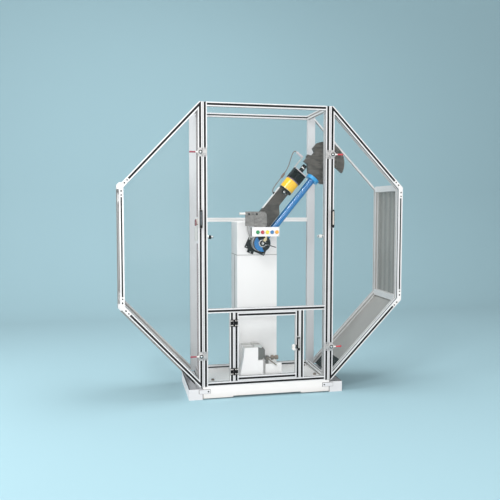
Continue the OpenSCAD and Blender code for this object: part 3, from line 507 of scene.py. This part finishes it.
# The sloped sheets are plain; the feet and their tabs are painted a bluer grey than the beams, as
# shade
obj = nodes["side_sheets"]
k = index(obj, SLOPE)
for faces, lo, hi, pts in shells(obj):
    if hi.x - lo.x > 0.01:
        for p in faces:
            p.material_index = k


def foot(p):
    return abs(p.center.x) > 0.4621 or p.center.y < -0.2551


# painted shade on the feet and their tabs
recolour("base_frame", FOOT_SHADE, foot)
# the feet's tops painted dark as shade
recolour("base_frame", FOOT_TOP_SHADE, lambda p: foot(p) and p.normal.z > 0.9 and p.center.z > 0.072)
# The flange at the tube's end painted lighter as light on the tube's blue, the hub's round side
# painted black as shade, the bracket's stub, the anvils' ground tops
recolour("pendulum_tube", FLANGE_LIT_BLUE, lambda p: along(p.center)[0] > 585.5)
# the hub's round side is painted black as shade
recolour("pendulum_hub", BLACK, lambda p: from_pivot(p.center) > 50 and abs(p.normal.y) < 0.5)
recolour("arm_bracket", CREAM, lambda p: p.center.x * 1000 < MACHINE_X - 126)
recolour("specimen_anvils", TOP, lambda p: p.center.z > 0.3402)
recolour("pointer", GRIP, lambda p: from_pivot(p.center) > 36)


# The holder of the latch lead's fitting, and the fitting at its end
def fitting(p):
    s, t = along(p.center)
    return s > 660 and t > 163


def holder(p):
    s, t = along(p.center)
    return s > 600 and t > 150 and not fitting(p)


recolour("latch_yoke", CREAM, fitting)
recolour("latch_yoke", GRIP_PALE, holder)
# The lever's tip, the box's end and the interlock's actuator
recolour("centring_lever", CREAM, lambda p:
         (p.center - mm(MACHINE_X + 31, p.center.y * 1000, SLIDE_Z)).length > 0.081)
recolour("button_box", GRIP, lambda p: p.normal.x < -0.9 and p.center.x < -0.1025)
recolour("interlock_switch", WINE, lambda p: p.center.z > 1.2205)

# Every CAD edge is slightly broken, as a real edge is: the width in millimetres
FINE_EDGE = 0.5
SOFT_EDGE = {
    "base_frame": 2.0, "column": 2.5, "column_head": 3.0, "button_box": 2.0,
    "anvil_pedestal": 1.6, "hammer": 1.5, "latch_arm": 2.0, "arm_bracket": 1.0,
    "release_solenoid": 2.0, "pendulum_hub": 1.5, "rear_posts": 1.2, "side_sheets": 0.4,
    "lower_aprons": 0.4,
}
PANES = ("fixed_windows", "left_door_window", "right_door_window", "access_door_window")
# Nodes whose flat faces are merged first, because thin triangles would show under the bevel
FLAT_FACES = ("button_box", "arm_bracket")
BEVEL_ANGLE = math.radians(38)
SHARP_ANGLE = math.radians(35)


def soften(obj, width):
    """Bevels the sharp edges, by a width in millimetres."""
    b = obj.modifiers.new("edges", "BEVEL")
    b.width = width / 1000
    b.segments = 2
    b.limit_method = "ANGLE"
    b.angle_limit = BEVEL_ANGLE
    b.use_clamp_overlap = True
    obj.modifiers.new("normals", "WEIGHTED_NORMAL")


for name, obj in nodes.items():
    if name in PANES:
        continue
    for p in obj.data.polygons:
        p.use_smooth = True
    w = obj.modifiers.new("weld", "WELD")
    w.merge_threshold = 0.00001
    if name in FLAT_FACES:
        d = obj.modifiers.new("flat", "DECIMATE")
        d.decimate_type = "DISSOLVE"
        d.angle_limit = math.radians(0.5)
        d.delimit = {"MATERIAL"}
    soften(obj, SOFT_EDGE.get(name, FINE_EDGE))


# ---------------------------------------------------------------- pieces made here
def piece(name, bm, m, body, soft=0.0):
    """A mesh made here, in the shared frame, that rides on a body."""
    bmesh.ops.recalc_face_normals(bm, faces=bm.faces[:])
    me = bpy.data.meshes.new(name)
    bm.to_mesh(me)
    bm.free()
    for p in me.polygons:
        p.use_smooth = True
    me.set_sharp_from_angle(angle=SHARP_ANGLE)
    me.materials.append(m)
    obj = bpy.data.objects.new(name, me)
    bpy.context.scene.collection.objects.link(obj)
    if soft:
        soften(obj, soft)
    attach(obj, body)
    return obj


# Depth of a knurl's grooves
KNURL = 0.45


def lathe(bm, at, axis, line, sides=32, knurl=()):
    """Turns a line of (radius, height) points, in mm, round an axis at a point in metres."""
    w = Vector(axis).normalized()
    u = w.orthogonal().normalized()
    v = w.cross(u)
    rows = []
    for n, (r, h) in enumerate(line):
        if r < 0.001:
            rows.append([bm.verts.new(at + w * h / 1000)])
            continue
        row = []
        for k in range(sides):
            q = r - (KNURL if n in knurl and k % 2 else 0)
            t = 2 * math.pi * k / sides
            out = (u * math.cos(t) + v * math.sin(t)) * q / 1000
            row.append(bm.verts.new(at + out + w * h / 1000))
        rows.append(row)
    for a, b in zip(rows, rows[1:]):
        for k in range(sides):
            j = (k + 1) % sides
            if len(a) == 1 and len(b) == 1:
                continue
            if len(a) == 1:
                bm.faces.new((a[0], b[j], b[k]))
            elif len(b) == 1:
                bm.faces.new((a[k], a[j], b[0]))
            else:
                bm.faces.new((a[k], a[j], b[j], b[k]))


def slab(bm, outline, d0, d1, spot):
    """A flat piece: an outline between two depths; spot puts (a, b, depth) in the shared frame."""
    n = len(outline)
    rows = [[bm.verts.new(spot(a, b, d)) for a, b in outline] for d in (d0, d1)]
    for k in range(n):
        j = (k + 1) % n
        bm.faces.new((rows[0][k], rows[0][j], rows[1][j], rows[1][k]))
    bm.faces.new(rows[0])
    bm.faces.new(list(reversed(rows[1])))


def rounded(x0, x1, z0, z1, r, n=4):
    """Outline of a rectangle with round corners."""
    out = []
    for cx, cz, t0 in ((x1 - r, z1 - r, 0), (x0 + r, z1 - r, 90),
                       (x0 + r, z0 + r, 180), (x1 - r, z0 + r, 270)):
        for k in range(n + 1):
            t = math.radians(t0 + 90 * k / n)
            out.append((cx + r * math.cos(t), cz + r * math.sin(t)))
    return out


def front(a, b, d):
    """Seen from the front: a to the right, b up."""
    return mm(a, d, b)


def beside(a, b, d):
    """Seen from the side: a to the back, b up."""
    return mm(d, a, b)


def machine(a, b, d):
    """From the pivot: a to the right, b up; d is the depth in the shared frame."""
    return mm(MACHINE_X + a, d, PIVOT_Z + b)


def latched(a, b, d):
    """Beside the raised pendulum: a along it, b to its upper left."""
    return arm(a, d, b)


def screw(bm, at, axis, r, h):
    """A socket screw's head, with its recess."""
    lathe(bm, at, axis, [(r, 0), (r, h * 0.75), (r * 0.82, h), (r * 0.5, h),
                         (r * 0.46, h * 0.35), (0, h * 0.3)], 24)


def round_piece(name, at, axis, line, m, body, sides=32, knurl=(), soft=0.0):
    """A piece of one turned shape."""
    bm = bmesh.new()
    lathe(bm, at, axis, line, sides, knurl)
    return piece(name, bm, m, body, soft)


def flat_piece(name, outline, d0, d1, spot, m, body, soft=0.0):
    """A piece of one flat shape."""
    bm = bmesh.new()
    slab(bm, outline, d0, d1, spot)
    return piece(name, bm, m, body, soft)


def screws(name, places, axis, r, h, m, body):
    """A piece of equal screw heads at several places."""
    bm = bmesh.new()
    for at in places:
        screw(bm, at, axis, r, h)
    return piece(name, bm, m, body)


def loft(bm, rows):
    """Skins a row of closed rings and closes both ends."""
    n = len(rows[0])
    for a, b in zip(rows, rows[1:]):
        for i in range(n):
            bm.faces.new((a[i], a[(i + 1) % n], b[(i + 1) % n], b[i]))
    bm.faces.new(rows[0])
    bm.faces.new(list(reversed(rows[-1])))


def tube(name, route, d, m, body):
    """A smooth round lead through the points of a route."""
    steps, sides, last = 6, 14, len(route) - 1
    pts = []
    for k in range(last):
        p0, p1 = route[max(k - 1, 0)], route[k]
        p2, p3 = route[k + 1], route[min(k + 2, last)]
        for i in range(steps):
            t = i / steps
            pts.append(0.5 * (2 * p1 + (p2 - p0) * t + (2 * p0 - 5 * p1 + 4 * p2 - p3) * t * t
                              + (3 * p1 - p0 - 3 * p2 + p3) * t ** 3))
    pts.append(route[-1])
    bm = bmesh.new()
    rows = []
    for k, p in enumerate(pts):
        u = (pts[min(k + 1, len(pts) - 1)] - pts[max(k - 1, 0)]).normalized()
        v = u.cross(Vector((0, 1, 0.01))).normalized()
        w = v.cross(u)
        ring = [2 * math.pi * i / sides for i in range(sides)]
        rows.append([bm.verts.new(p + (v * math.cos(t) + w * math.sin(t)) * d / 2000)
                     for t in ring])
    loft(bm, rows)
    return piece(name, bm, m, body)


OUT = Vector((0, -1, 0))
UP = Vector((0, 0, 1))
ALONG = Vector((math.cos(RAISE), 0, math.sin(RAISE)))
ACROSS = Vector((-math.sin(RAISE), 0, math.cos(RAISE)))

# --- guard: thin dark strips along the lips of the slots in the front, painted as the shade in the slots. In metres: their
# width, the depths they lie between, the shortest one, and where the outer uprights begin, which
# have none
LIP = 0.0022
LIP_DEPTHS = (0.0002, -0.0003)
LIP_LENGTH = 0.03
WING_UPRIGHT = 0.98
for name, body in (("front_posts", "machine"), ("front_beams", "machine"),
                   ("left_door_frame", "left_door"), ("right_door_frame", "right_door"),
                   ("access_door_frame", "access_door")):
    bm = bmesh.new()
    for p in nodes[name].data.polygons:
        edge = [c for c in corners(name, p) if abs(c.y - FRONT_Y / 1000) < 0.0003]
        wall = p.material_index == 0 and abs(p.normal.y) < 0.1 and abs(p.center.x) < WING_UPRIGHT
        if wall and len(edge) == 2 and (edge[0] - edge[1]).length > LIP_LENGTH:
            ring = [edge[0], edge[1], edge[1] - p.normal * LIP, edge[0] - p.normal * LIP]
            rows = [[bm.verts.new(q + Vector((0, d, 0))) for q in ring] for d in LIP_DEPTHS]
            bm.faces.new(rows[0])
            bm.faces.new(rows[1])
            for k in range(4):
                j = (k + 1) % 4
                bm.faces.new((rows[0][k], rows[0][j], rows[1][j], rows[1][k]))
    piece(name + "_slot_lip_shade", bm, RECESS_SHADE, body)

# --- guard: a grey seal strip in two lengths behind each door's stile, standing in for the shade beside the stile
for side, door in DOORS:
    bm = bmesh.new()
    x0, x1 = sorted((side * 470, side * 497))
    for z0, z1 in ((150, 1092), (1276, 1996)):
        slab(bm, rounded(x0, x1, z0, z1, 1, 2), -219.9, -217.7, front)
    piece(door + "_seal_shade", bm, SEAL_SHADE, door)

# --- guard: screws in the plates, hinges and clamps
for side, door in DOORS:
    places = []
    for i in (1, 2):
        q = Vector(WING[i])
        for e in (WING[i - 1], WING[i + 1]):
            run = (Vector(e) - q).normalized()
            for u in (30, 58):
                c = q + u * run
                places.append(mm(side * c.x, FRONT_Y - 3, c.y))
    screws(door + "_plate_screws", places, OUT, 5.0, 1.8, BLACK, door)
    for name, y, body in ((door + "_hinge_screws", -235, door),
                          ("guard_hinge_screws_%s" % door, -203, "machine")):
        screws(name, [mm(side * 1021, y, z + dz) for z in WING_HINGE_Z for dz in (-15, 15)],
               (side, 0, 0), 4.2, 2.0, STEEL, body)
for name, (side, z) in CLAMPS.items():
    door = "left_door" if side < 0 else "right_door"
    x = side * STILE_X
    bm = bmesh.new()
    for dz in CLAMP_SCREWS:
        screw(bm, mm(x, FRONT_Y - 6, z + dz), OUT, 3.6, 0.35)
    lathe(bm, mm(x, FRONT_Y - 17, z), OUT,
          [(5.9, 0), (5.9, 1.0), (7.6, 1.2), (7.6, 3.2), (5.2, 4.6), (0, 5.0)], 24)
    piece(name + "_nut", bm, STEEL, door)
    screws(name + "_catch_screws", [mm(side * 440, FRONT_Y - 4, z + dz) for dz in CLAMP_SCREWS],
           OUT, 3.6, 1.8, GRIP, "machine")
    round_piece(name + "_washer", mm(x, FRONT_Y - 16, z), OUT,
                [(8.2, 0), (8.2, 0.9), (9.0, 1.3), (12.2, 1.3), (13.2, 0.6), (13.2, 0), (8.2, 0)],
                BLACK, name, 36)
    round_piece(name + "_dish", mm(x, FRONT_Y - 6.6, z), OUT,
                [(13.6, 0), (22.5, 0.2), (23.5, 1.2), (23.5, 2.6), (21.5, 4.2), (17, 4.8),
                 (13.6, 5.0), (13.6, 0)], CLAMP, name, 48)
    # the left grips' darker red is painted shade
    round_piece(name + "_grip", mm(side * (STILE_X + 34), FRONT_Y - 11.5, z), (side, 0, 0),
                [(4.8, 0), (5.9, 0.5), (6.2, 4), (5.5, 6), (5.6, 20), (6.2, 38), (5.5, 42),
                 (0, 42.4)], RED if side > 0 else RED_SHADED, name, 28)
    round_piece(name + "_ferrule", mm(side * (STILE_X + 15), FRONT_Y - 11.5, z), (side, 0, 0),
                [(5.05, 0), (5.3, 0.4), (5.35, 3), (5.15, 4.2), (5.1, 14), (5.3, 15), (5.3, 18),
                 (5.05, 18.6)], CREAM, name, 28)


def grip(name, x, z0, z1, m, body):
    """An oval grip on a bow handle, with a pale strip down its front painted as the reflection on a
    chrome grip.
    """
    half_w, half_d, middle_y, sides = 9.6, 5.7, -280, 32
    bm = bmesh.new()
    rows = []
    for z, k in ((z0, 0.6), (z0 + 1, 0.86), (z0 + 4, 1.0),
                 (z1 - 4, 1.0), (z1 - 1, 0.86), (z1, 0.6)):
        ring = [2 * math.pi * i / sides for i in range(sides)]
        rows.append([bm.verts.new(mm(x + half_w * k * math.cos(t),
                                     middle_y + half_d * max(k, 0.98) * math.sin(t), z))
                     for t in ring])
    loft(bm, rows)
    piece(name + "_grip", bm, BLACK, body)
    flat_piece(name + "_painted_reflection", rounded(x - 5.2, x + 5.2, z0 + 18, z1 - 8, 5), -286.1, -284.4,
               front, m, body, 0.4)


# The strips on the grips are painted reflections: slate-blue on the left, beige on the right, pale
# on the access door
grip("left_handle", -STILE_X, 1200, 1322, SLATE_REFLECTION, "left_door")
grip("right_handle", STILE_X, 1200, 1322, GRIP_BEIGE, "right_door")
grip("access_handle", 223.5, 323, 419, GRIP_PALE, "access_door")

for z in ACCESS_HINGE_Z:
    for x, body in ((-255.5, "machine"), (-223.5, "access_door")):
        screws("access_hinge_screws_%s_%d" % (body, z),
               [mm(x + dx, FRONT_Y - 3, z + dz) for dx in (-5.5, 5.5) for dz in (-16, 16)],
               OUT, 3.6, 1.8, CREAM, body)

# --- base: seams and small screws
bm = bmesh.new()
for x in (-462, 462):
    seam = rounded(x - 2.2, x + 2.2, 4, 75.6, 0.6, 2)
    slab(bm, seam, -255.4, -254.5, front)
    slab(bm, seam, 254.5, 255.4, front)
for x0 in (-491, 409):
    slab(bm, rounded(x0, x0 + 82, 41.5, 72.5, 3), -255.6, -254.5, front)
piece("base_seams", bm, SEAM, "machine")
screws("base_small_screws", [mm(446, -52, 88), mm(-446, -52, 88)], UP, 9, 6,
       BRONZE, "machine")

# --- guard: the black aprons reach up over the sloped sheets
for side in (-1, 1):
    (x, z), (c, d) = SLOPE_FOOT, SLOPE_RUN
    flap = [(side * (x + c * u - d * n), z + d * u + c * n)
            for u, n in ((2, 0.1), (APRON + FLAP, 0.1), (APRON + FLAP, 1.1), (2, 1.1))]
    flat_piece("apron_flap_%s" % ("left" if side < 0 else "right"), flap, -187.5, 249.5, front,
               RUBBER, "machine", 0.3)
# --- base: dark discs in the holes of its tabs, painted as the shade inside them
bm = bmesh.new()
for side in (-1, 1):
    lathe(bm, mm(side * 423.9, -255.0, 57), OUT, [(5.9, 0), (5.9, 0.6), (5.2, 1.0), (0, 0.9)], 32)
piece("lug_hole_shade", bm, RECESS_SHADE, "machine")

# --- column: the seam down its side and the head's joint
flat_piece("column_side_seam", rounded(66, 74, 92, 990, 1, 2), -177.9, -176.6, beside,
           SEAM, "machine")
bm = bmesh.new()
for x in (-176.9, 121.9):
    slab(bm, rounded(-34.6, 209.6, 991.6, 994.4, 0.5, 2), x - 0.35, x + 0.35, beside)
for y0, y1 in ((-35.3, -34.7), (209.7, 210.3)):
    slab(bm, rounded(-176.6, 121.6, 991.6, 994.4, 0.5, 2), y0, y1, front)
piece("head_joint", bm, SEAM, "machine")

# --- hub, cap and pointer; angles in degrees
SECTOR_STEPS = 30
SECTOR_TURN = 24.6
BLADE_TILT = 17
POINTER_SCREW_TURN, POINTER_SCREW_R = -24, 31
PLATE_TILT = 24


def cos_sin(degrees):
    return math.cos(math.radians(degrees)), math.sin(math.radians(degrees))


def sector(r, half):
    """An arc round the pivot, half degrees to either side of its middle."""
    turns = [cos_sin(SECTOR_TURN + half * (2 * k / SECTOR_STEPS - 1))
             for k in range(SECTOR_STEPS + 1)]
    return [(r * c, r * d) for c, d in turns]


bm = bmesh.new()
arcs = (sector(59.2, 104.1), sector(28.8, 120.5))
(o0, i0), (o1, i1) = [[[bm.verts.new(machine(a, b, d)) for a, b in arc] for arc in arcs]
                      for d in (-166.1, -164.9)]
for k in range(SECTOR_STEPS):
    for a, b in ((o0, i0), (o1, i1), (o0, o1), (i0, i1)):
        bm.faces.new((a[k], a[k + 1], b[k + 1], b[k]))
for k in (0, SECTOR_STEPS):
    bm.faces.new((o0[k], i0[k], i1[k], o1[k]))
piece("hub_face_plate", bm, BLACK, "pendulum", 0.3)
round_piece("hub_collar", machine(0, 0, -118), (0, 1, 0),
            [(59, 0), (60.8, 0.5), (61.4, 2), (61.4, 44), (60.8, 45.5), (59, 46)],
            RING, "pendulum", 96)
c, d = cos_sin(BLADE_TILT)
blade = ((27, 4.6), (60, 3.8), (98, 3.4), (106, 0.6),
         (106, -0.6), (98, -3.4), (60, -3.8), (27, -4.6))
flat_piece("pointer_blade", [(a * c + b * d, b * c - a * d) for a, b in blade],
           -170.3, -169.4, machine, GRIP, "pointer", 0.2)
round_piece("hub_cap_screw", machine(0, 0, -177.4), OUT,
            [(9.4, 0), (9.4, 0.9), (8.4, 1.6), (4.4, 1.6), (4.0, 0.7), (0, 0.6)],
            CHROME, "pendulum", 36)
flat_piece("pointer_shade", [(19, 7), (34, 5), (49, 0.5), (48, -5), (34, -7.5), (19, -9)],
           -170.4, -169.5, machine, BLACK, "pointer", 0.2)
c, d = cos_sin(POINTER_SCREW_TURN)
round_piece("pointer_screw", machine(POINTER_SCREW_R * c, POINTER_SCREW_R * d, -169.5), OUT,
            [(2.8, 0), (2.8, 0.9), (2.2, 1.4), (0, 1.5)], CHROME, "pointer", 20)
flat_piece("index_finger",
           [(1, 15), (16, 14), (26, 23), (27, 51.2), (13, 51.2), (13, 39), (3, 35)],
           -194, -189, machine, OCHRE, "machine", 1.2)
flat_piece("index_guard", [(32.5, 46), (37, 44), (53, 8), (49.5, 4), (45, 8), (32.5, 34)],
           -193, -190, machine, BLACK, "machine", 0.6)
round_piece("index_screw", machine(18, 32, -193.8), OUT,
            [(5.6, 0), (5.6, 2.4), (4.6, 3.4), (2.4, 3.4), (2.1, 2.2), (0, 2.0)],
            BRASS, "machine", 28)

# --- sensor plate: its screws, and the lead with its two glands
c, d = cos_sin(PLATE_TILT)
screws("sensor_plate_screws",
       [machine(-18 + a * c + b * d, -30 - a * d + b * c, -45)
        for a, b in ((-70, 30), (-70, -30), (70, -30), (-26, -55))],
       OUT, 4.6, 2.4, STEEL, "machine")
bm = bmesh.new()
for at, axis in ((machine(-65, 30, -44.9), OUT), (machine(-57.4, 160, -58), (-1, 0, 0))):
    lathe(bm, at, axis, [(8.5, 0), (8.5, 5), (7.6, 6), (6.2, 6.4), (5.2, 13), (4.1, 13.4)], 24)
piece("sensor_lead_glands", bm, GRIP_PALE, "machine")
SENSOR_ROUTE = [machine(a, b, PLANE_Y + d) for a, d, b in (
    (-57.6, 72, 160), (-68, 72, 160), (-80, 72, 153), (-87, 72, 136), (-88, 72, 106),
    (-81, 72, 72), (-72, 73, 48), (-66, 76, 33), (-65, 80, 30), (-65, 84.9, 30))]
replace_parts(tube("sensor_lead_smooth", SENSOR_ROUTE, 8, GREY_LEAD, "machine"),
            "sensor_lead")

# --- button box: caps, rims, lid screws and end cover
CAP = [(0, -11), (11.4, -11), (11.4, 5.4), (11.0, 6.9), (9.8, 7.8), (8.6, 8.0), (6.0, 7.5),
       (0, 7.2)]
RIM = [(11.9, 0), (11.9, 2.2), (12.3, 2.8), (13.0, 2.6), (13.6, 1.6), (13.6, 0), (11.9, 0)]
for x, n in zip(BUTTON_X, BUTTONS):
    at = mm(x, BOX_FRONT, BUTTON_Z)
    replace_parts(round_piece("%s_cap" % n, at, OUT, CAP, BUTTONS[n], n + "_button", 48),
                "button_" + n)
    round_piece("%s_rim" % n, at, OUT, RIM, BUTTONS[n], "machine", 48)
screws("box_screws", [mm(x, BOX_FRONT, z) for x in (-98, 91) for z in (1142, 1196)],
       OUT, 3.0, 1.4, STEEL, "machine")
flat_piece("box_end_cover", rounded(-204.5, -177.5, 1138, 1200, 3), -107.5, -103.2, beside,
           GRIP, "machine", 1.0)

# --- bracket: bolts in its holes, and the collar of its stub
bm = bmesh.new()
for a, r in ((-98, 7.3), (-42, 7.3), (-70, 3.3)):
    lathe(bm, mm(MACHINE_X + a, -166, 1294), OUT,
          [(r, 0), (r, 3.4), (r * 0.85, 4.2), (r * 0.5, 4.2), (r * 0.45, 2), (0, 1.8)], 28)
piece("bracket_bolts", bm, BLACK, "machine")
round_piece("bracket_stub_collar", mm(MACHINE_X - 168, -166, 1297), (-1, 0, 0),
            [(8.1, -6), (9.2, -5.6), (9.2, -1), (8.2, 0), (3.6, 0), (3.2, -2), (0, -2.2)],
            CREAM, "machine", 28)

# --- latch: painted highlights on the arm's top and the yoke's edge, clamp block, lead with its connector and fitting
flat_piece("arm_top_highlight", rounded(200, 396, -27, 27, 4), 154, 155.6, arm,
           PLATE, "machine", 0.5)
flat_piece("arm_end_block", rounded(371, 397.5, 88, 128, 3), -33.5, -29.8, latched,
           BLACK, "machine", 0.8)
bm = bmesh.new()
screw(bm, arm(385, -33.4, 110), OUT, 8.5, 5.0)
screw(bm, arm(378, -33.4, 94), OUT, 3.4, 2.2)
piece("arm_end_bolts", bm, CHROME, "machine")
# a pale strip painted as the highlight on the yoke's edge
flat_piece("yoke_edge_highlight", rounded(571.6, 578.4, 55, 155, 0.8, 2), -30.7, -29.9, latched,
           STRIP, "machine")
round_piece("plunger_collars", arm(COLLAR, 0, CAN_T), ALONG,
            [(16.6, 0), (18.2, 0.5), (18.2, 4.5), (17.2, 5.2), (17.2, 7), (18.2, 7.7),
             (18.2, 10.5), (16.6, 11)], CHROME, "plunger", 48)
round_piece("can_rim_low", arm(409, 0, CAN_T), ALONG,
            [(46, 0), (53.6, 0.4), (53.6, 3.2), (52.6, 4.2), (46, 4.2)],
            BRASS, "machine", 64)
round_piece("can_rim_high", arm(486.4, 0, CAN_T), ALONG,
            [(46, 0), (53.4, 0.2), (53.6, 1), (53.6, 7.4), (52.4, 8.4), (46, 8.4)],
            PURPLE, "machine", 64)
LATCH_ROUTE = [arm(s, 0, t) for s, t in (
    (336, 154.1), (336, 166), (348, 178), (378, 184), (426, 186), (476, 187), (526, 192),
    (566, 202), (602, 217), (632, 228), (654, 233), (668, 231), (672, 223), (672, 212.1))]
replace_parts(tube("latch_lead_smooth", LATCH_ROUTE, 6, BROWN, "machine"),
            "latch_lead")
round_piece("latch_lead_grommet", arm(336, 0, 154.8), ACROSS,
            [(9.5, 0), (9.5, 2.5), (7.5, 3.2), (6.2, 9), (4.6, 12.5), (3.1, 12.8)],
            BLACK, "machine", 28)
start = arm(458, 0, 186.6)
round_piece("latch_lead_connector", start, arm(494, 0, 188.9) - start,
            [(3.1, -6), (4.6, -5.4), (5.4, 0), (8.4, 1), (8.4, 13), (9.2, 14), (9.2, 22),
             (8.4, 23), (8.4, 34), (5.4, 35), (4.6, 40.6), (3.1, 41)],
            BROWN, "machine", 32, (4, 5, 6, 7))
round_piece("latch_lead_fitting", arm(672, 0, 163), ACROSS,
            [(8.3, 0), (8.3, 40), (9.2, 41), (9.2, 46), (8.2, 47.6), (5.2, 49.6), (4.4, 56),
             (3.1, 57)], STRIP, "machine", 32)

# --- specimen stand: top plates and noses of the cheeks, knurled knob, anvil screws
bm = bmesh.new()
for y0 in (-204.5, -107.5):
    slab(bm, rounded(MACHINE_X - 139, MACHINE_X - 69, 340, 343.4, 0.8, 2), y0, y0 + 52, front)
piece("cheek_top_plates", bm, TOP, "machine", 0.4)
x0, x1, z0, z1 = MACHINE_X - 39, MACHINE_X - 2, 88, 246.6
bm = bmesh.new()
for y0 in (-205, -108):
    slab(bm, [(x0, z0), (x1, z0), (x1, z1), (x0, z1)], y0, y0 + 53, front)
piece("cheek_noses", bm, WHITE, "machine", 1.2)
KNOB = [(0, 20), (5.9, 20.2), (5.9, 61), (16.6, 62), (17.9, 63.2), (17.9, 78.8), (16.6, 80),
        (11, 80.4), (10.6, 91.6), (14.6, 92), (15.9, 93.2), (15.9, 113.6), (14.6, 114.8),
        (6, 115), (0, 114)]
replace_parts(round_piece("centring_knob_knurled", mm(MACHINE_X, SLIDE_Y, SLIDE_Z), (1, 0, 0), KNOB,
                        BRONZE, "centring_knob", 64, (4, 5, 10, 11)), "centring_knob")
screws("anvil_screws", [mm(MACHINE_X + 14, y, z) for y in (-170, -90) for z in (268, 300)],
       (1, 0, 0), 5, 3, BLACK, "machine")

# --- light sensors, interlock
for side, n in ((-1, "left"), (1, "right")):
    inward = (-side, 0, 0)
    round_piece("light_sensor_nut_" + n, mm(side * 419, SENSOR_Y, SENSOR_Z), inward,
                [(9, 0), (13.6, 0.4), (14.4, 1.4), (14.4, 5.0), (13.6, 6.2), (9.1, 6.4)],
                CHROME, "machine", 6, soft=0.3)
    round_piece("light_sensor_lens_" + n, mm(side * 380, SENSOR_Y, SENSOR_Z), inward,
                [(9.2, -4), (9.2, -0.2), (8.4, 0.5), (6.4, 0.5), (6.0, -0.1), (0, 0.3)],
                GRIP if side < 0 else STEEL, "machine", 28)
    round_piece("light_sensor_sleeve_" + n, mm(side * 411, SENSOR_Y, SENSOR_Z), inward,
                [(9.1, 0), (12.2, 0.4), (13, 1.4), (13, 17), (12, 18.4), (9.1, 18.6)],
                BLACK if side < 0 else CREAM, "machine", 36)
screws("interlock_screws", [mm(-477, -215, z) for z in (1122, 1210)], OUT, 4.0, 2.0,
       STEEL, "machine")
flat_piece("interlock_cover", rounded(-507.5, -489, 1109, 1206, 3), -216.6, -192, front,
           SWITCH, "machine", 1.0)
flat_piece("interlock_head",
           [(-507, 1214), (-507, 1252), (-503, 1260), (-496, 1260), (-492, 1228), (-497, 1214)],
           -216.8, -193, front, WINE, "machine", 1.2)
flat_piece("interlock_key",
           [(-494, 1224), (-497.5, 1258), (-494, 1266), (-486, 1266), (-484, 1230)],
           -219.8, -217.3, front, GRIP_BEIGE, "left_door", 0.5)

# ---------------------------------------------------------------- camera, light and floor
cam_data = bpy.data.cameras.new("camera")
cam_data.lens = 44.2
cam_data.sensor_width = 36
cam_data.clip_end = 100
cam = bpy.data.objects.new("camera", cam_data)
cam.location = (-1.003, -4.443, 1.324)
cam.rotation_euler = (math.radians(90 - 3.74), 0, math.radians(-11.81))
bpy.context.scene.collection.objects.link(cam)
bpy.context.scene.camera = cam


def area(name, place_at, aim, size, power):
    d = bpy.data.lights.new(name, "AREA")
    d.shape = "RECTANGLE"
    d.size, d.size_y = size
    d.energy = power
    o = bpy.data.objects.new(name, d)
    o.location = place_at
    o.rotation_euler = (Vector(aim) - Vector(place_at)).to_track_quat("-Z", "Y").to_euler()
    bpy.context.scene.collection.objects.link(o)


area("key", (-2.6, -4.0, 4.9), (0, 0, 1.0), (1.2, 1.2), 90)
area("front", (-1.0, -5.4, 1.7), (0, 0, 1.0), (3.2, 2.4), 92)
area("fill", (3.4, -4.2, 2.0), (0, 0, 0.9), (3.0, 3.0), 40)
area("side", (-4.6, -0.8, 2.0), (0, 0, 1.0), (2.4, 2.4), 110)
area("top", (0.4, 0.2, 4.8), (0, 0, 0), (3.0, 2.0), 85)
world = bpy.data.worlds.new("studio")
bpy.context.scene.world = world
world.use_nodes = True
sky = world.node_tree.nodes["Background"]
sky.inputs["Color"].default_value = (1.0, 1.0, 1.0, 1)
sky.inputs["Strength"].default_value = 0.55

# The sweep looks pale blue and lights the object with a plain grey
SWEEP_SEEN = (0.36, 0.56, 0.63)
SWEEP_PLAIN = (0.58, 0.585, 0.59)
floor_mat = material("floor", SWEEP_SEEN, 0.8)
path = new(floor_mat, "ShaderNodeLightPath")
seen = path.outputs["Is Camera Ray"]
for name in ("Is Glossy Ray", "Is Transmission Ray"):
    add = new(floor_mat, "ShaderNodeMath", operation="MAXIMUM")
    link(floor_mat, seen, add.inputs[0])
    link(floor_mat, path.outputs[name], add.inputs[1])
    seen = add.outputs[0]
tint(floor_mat, seen, SWEEP_PLAIN, SWEEP_SEEN)
# A floor that bends up into the backdrop: its depth, the bend's radius, its height and half width
NEAR, FAR, BEND, TALL, HALF = -7.0, 3.0, 1.6, 7.0, 9
turns = [math.pi / 2 * i / 16 for i in range(1, 17)]
line = [(NEAR, 0.0), (FAR, 0.0)]
line += [(FAR + BEND * math.sin(a), BEND - BEND * math.cos(a)) for a in turns]
line += [(FAR + BEND, TALL)]
bm = bmesh.new()
rows = [[bm.verts.new((x, y, z)) for x in (-HALF, HALF)] for y, z in line]
for a, b in zip(rows, rows[1:]):
    bm.faces.new((a[0], a[1], b[1], b[0])).smooth = True
me = bpy.data.meshes.new("studio_floor")
bm.to_mesh(me)
floor = bpy.data.objects.new("studio_floor", me)
me.materials.append(floor_mat)
bpy.context.scene.collection.objects.link(floor)

bpy.context.scene.view_settings.view_transform = "Standard"
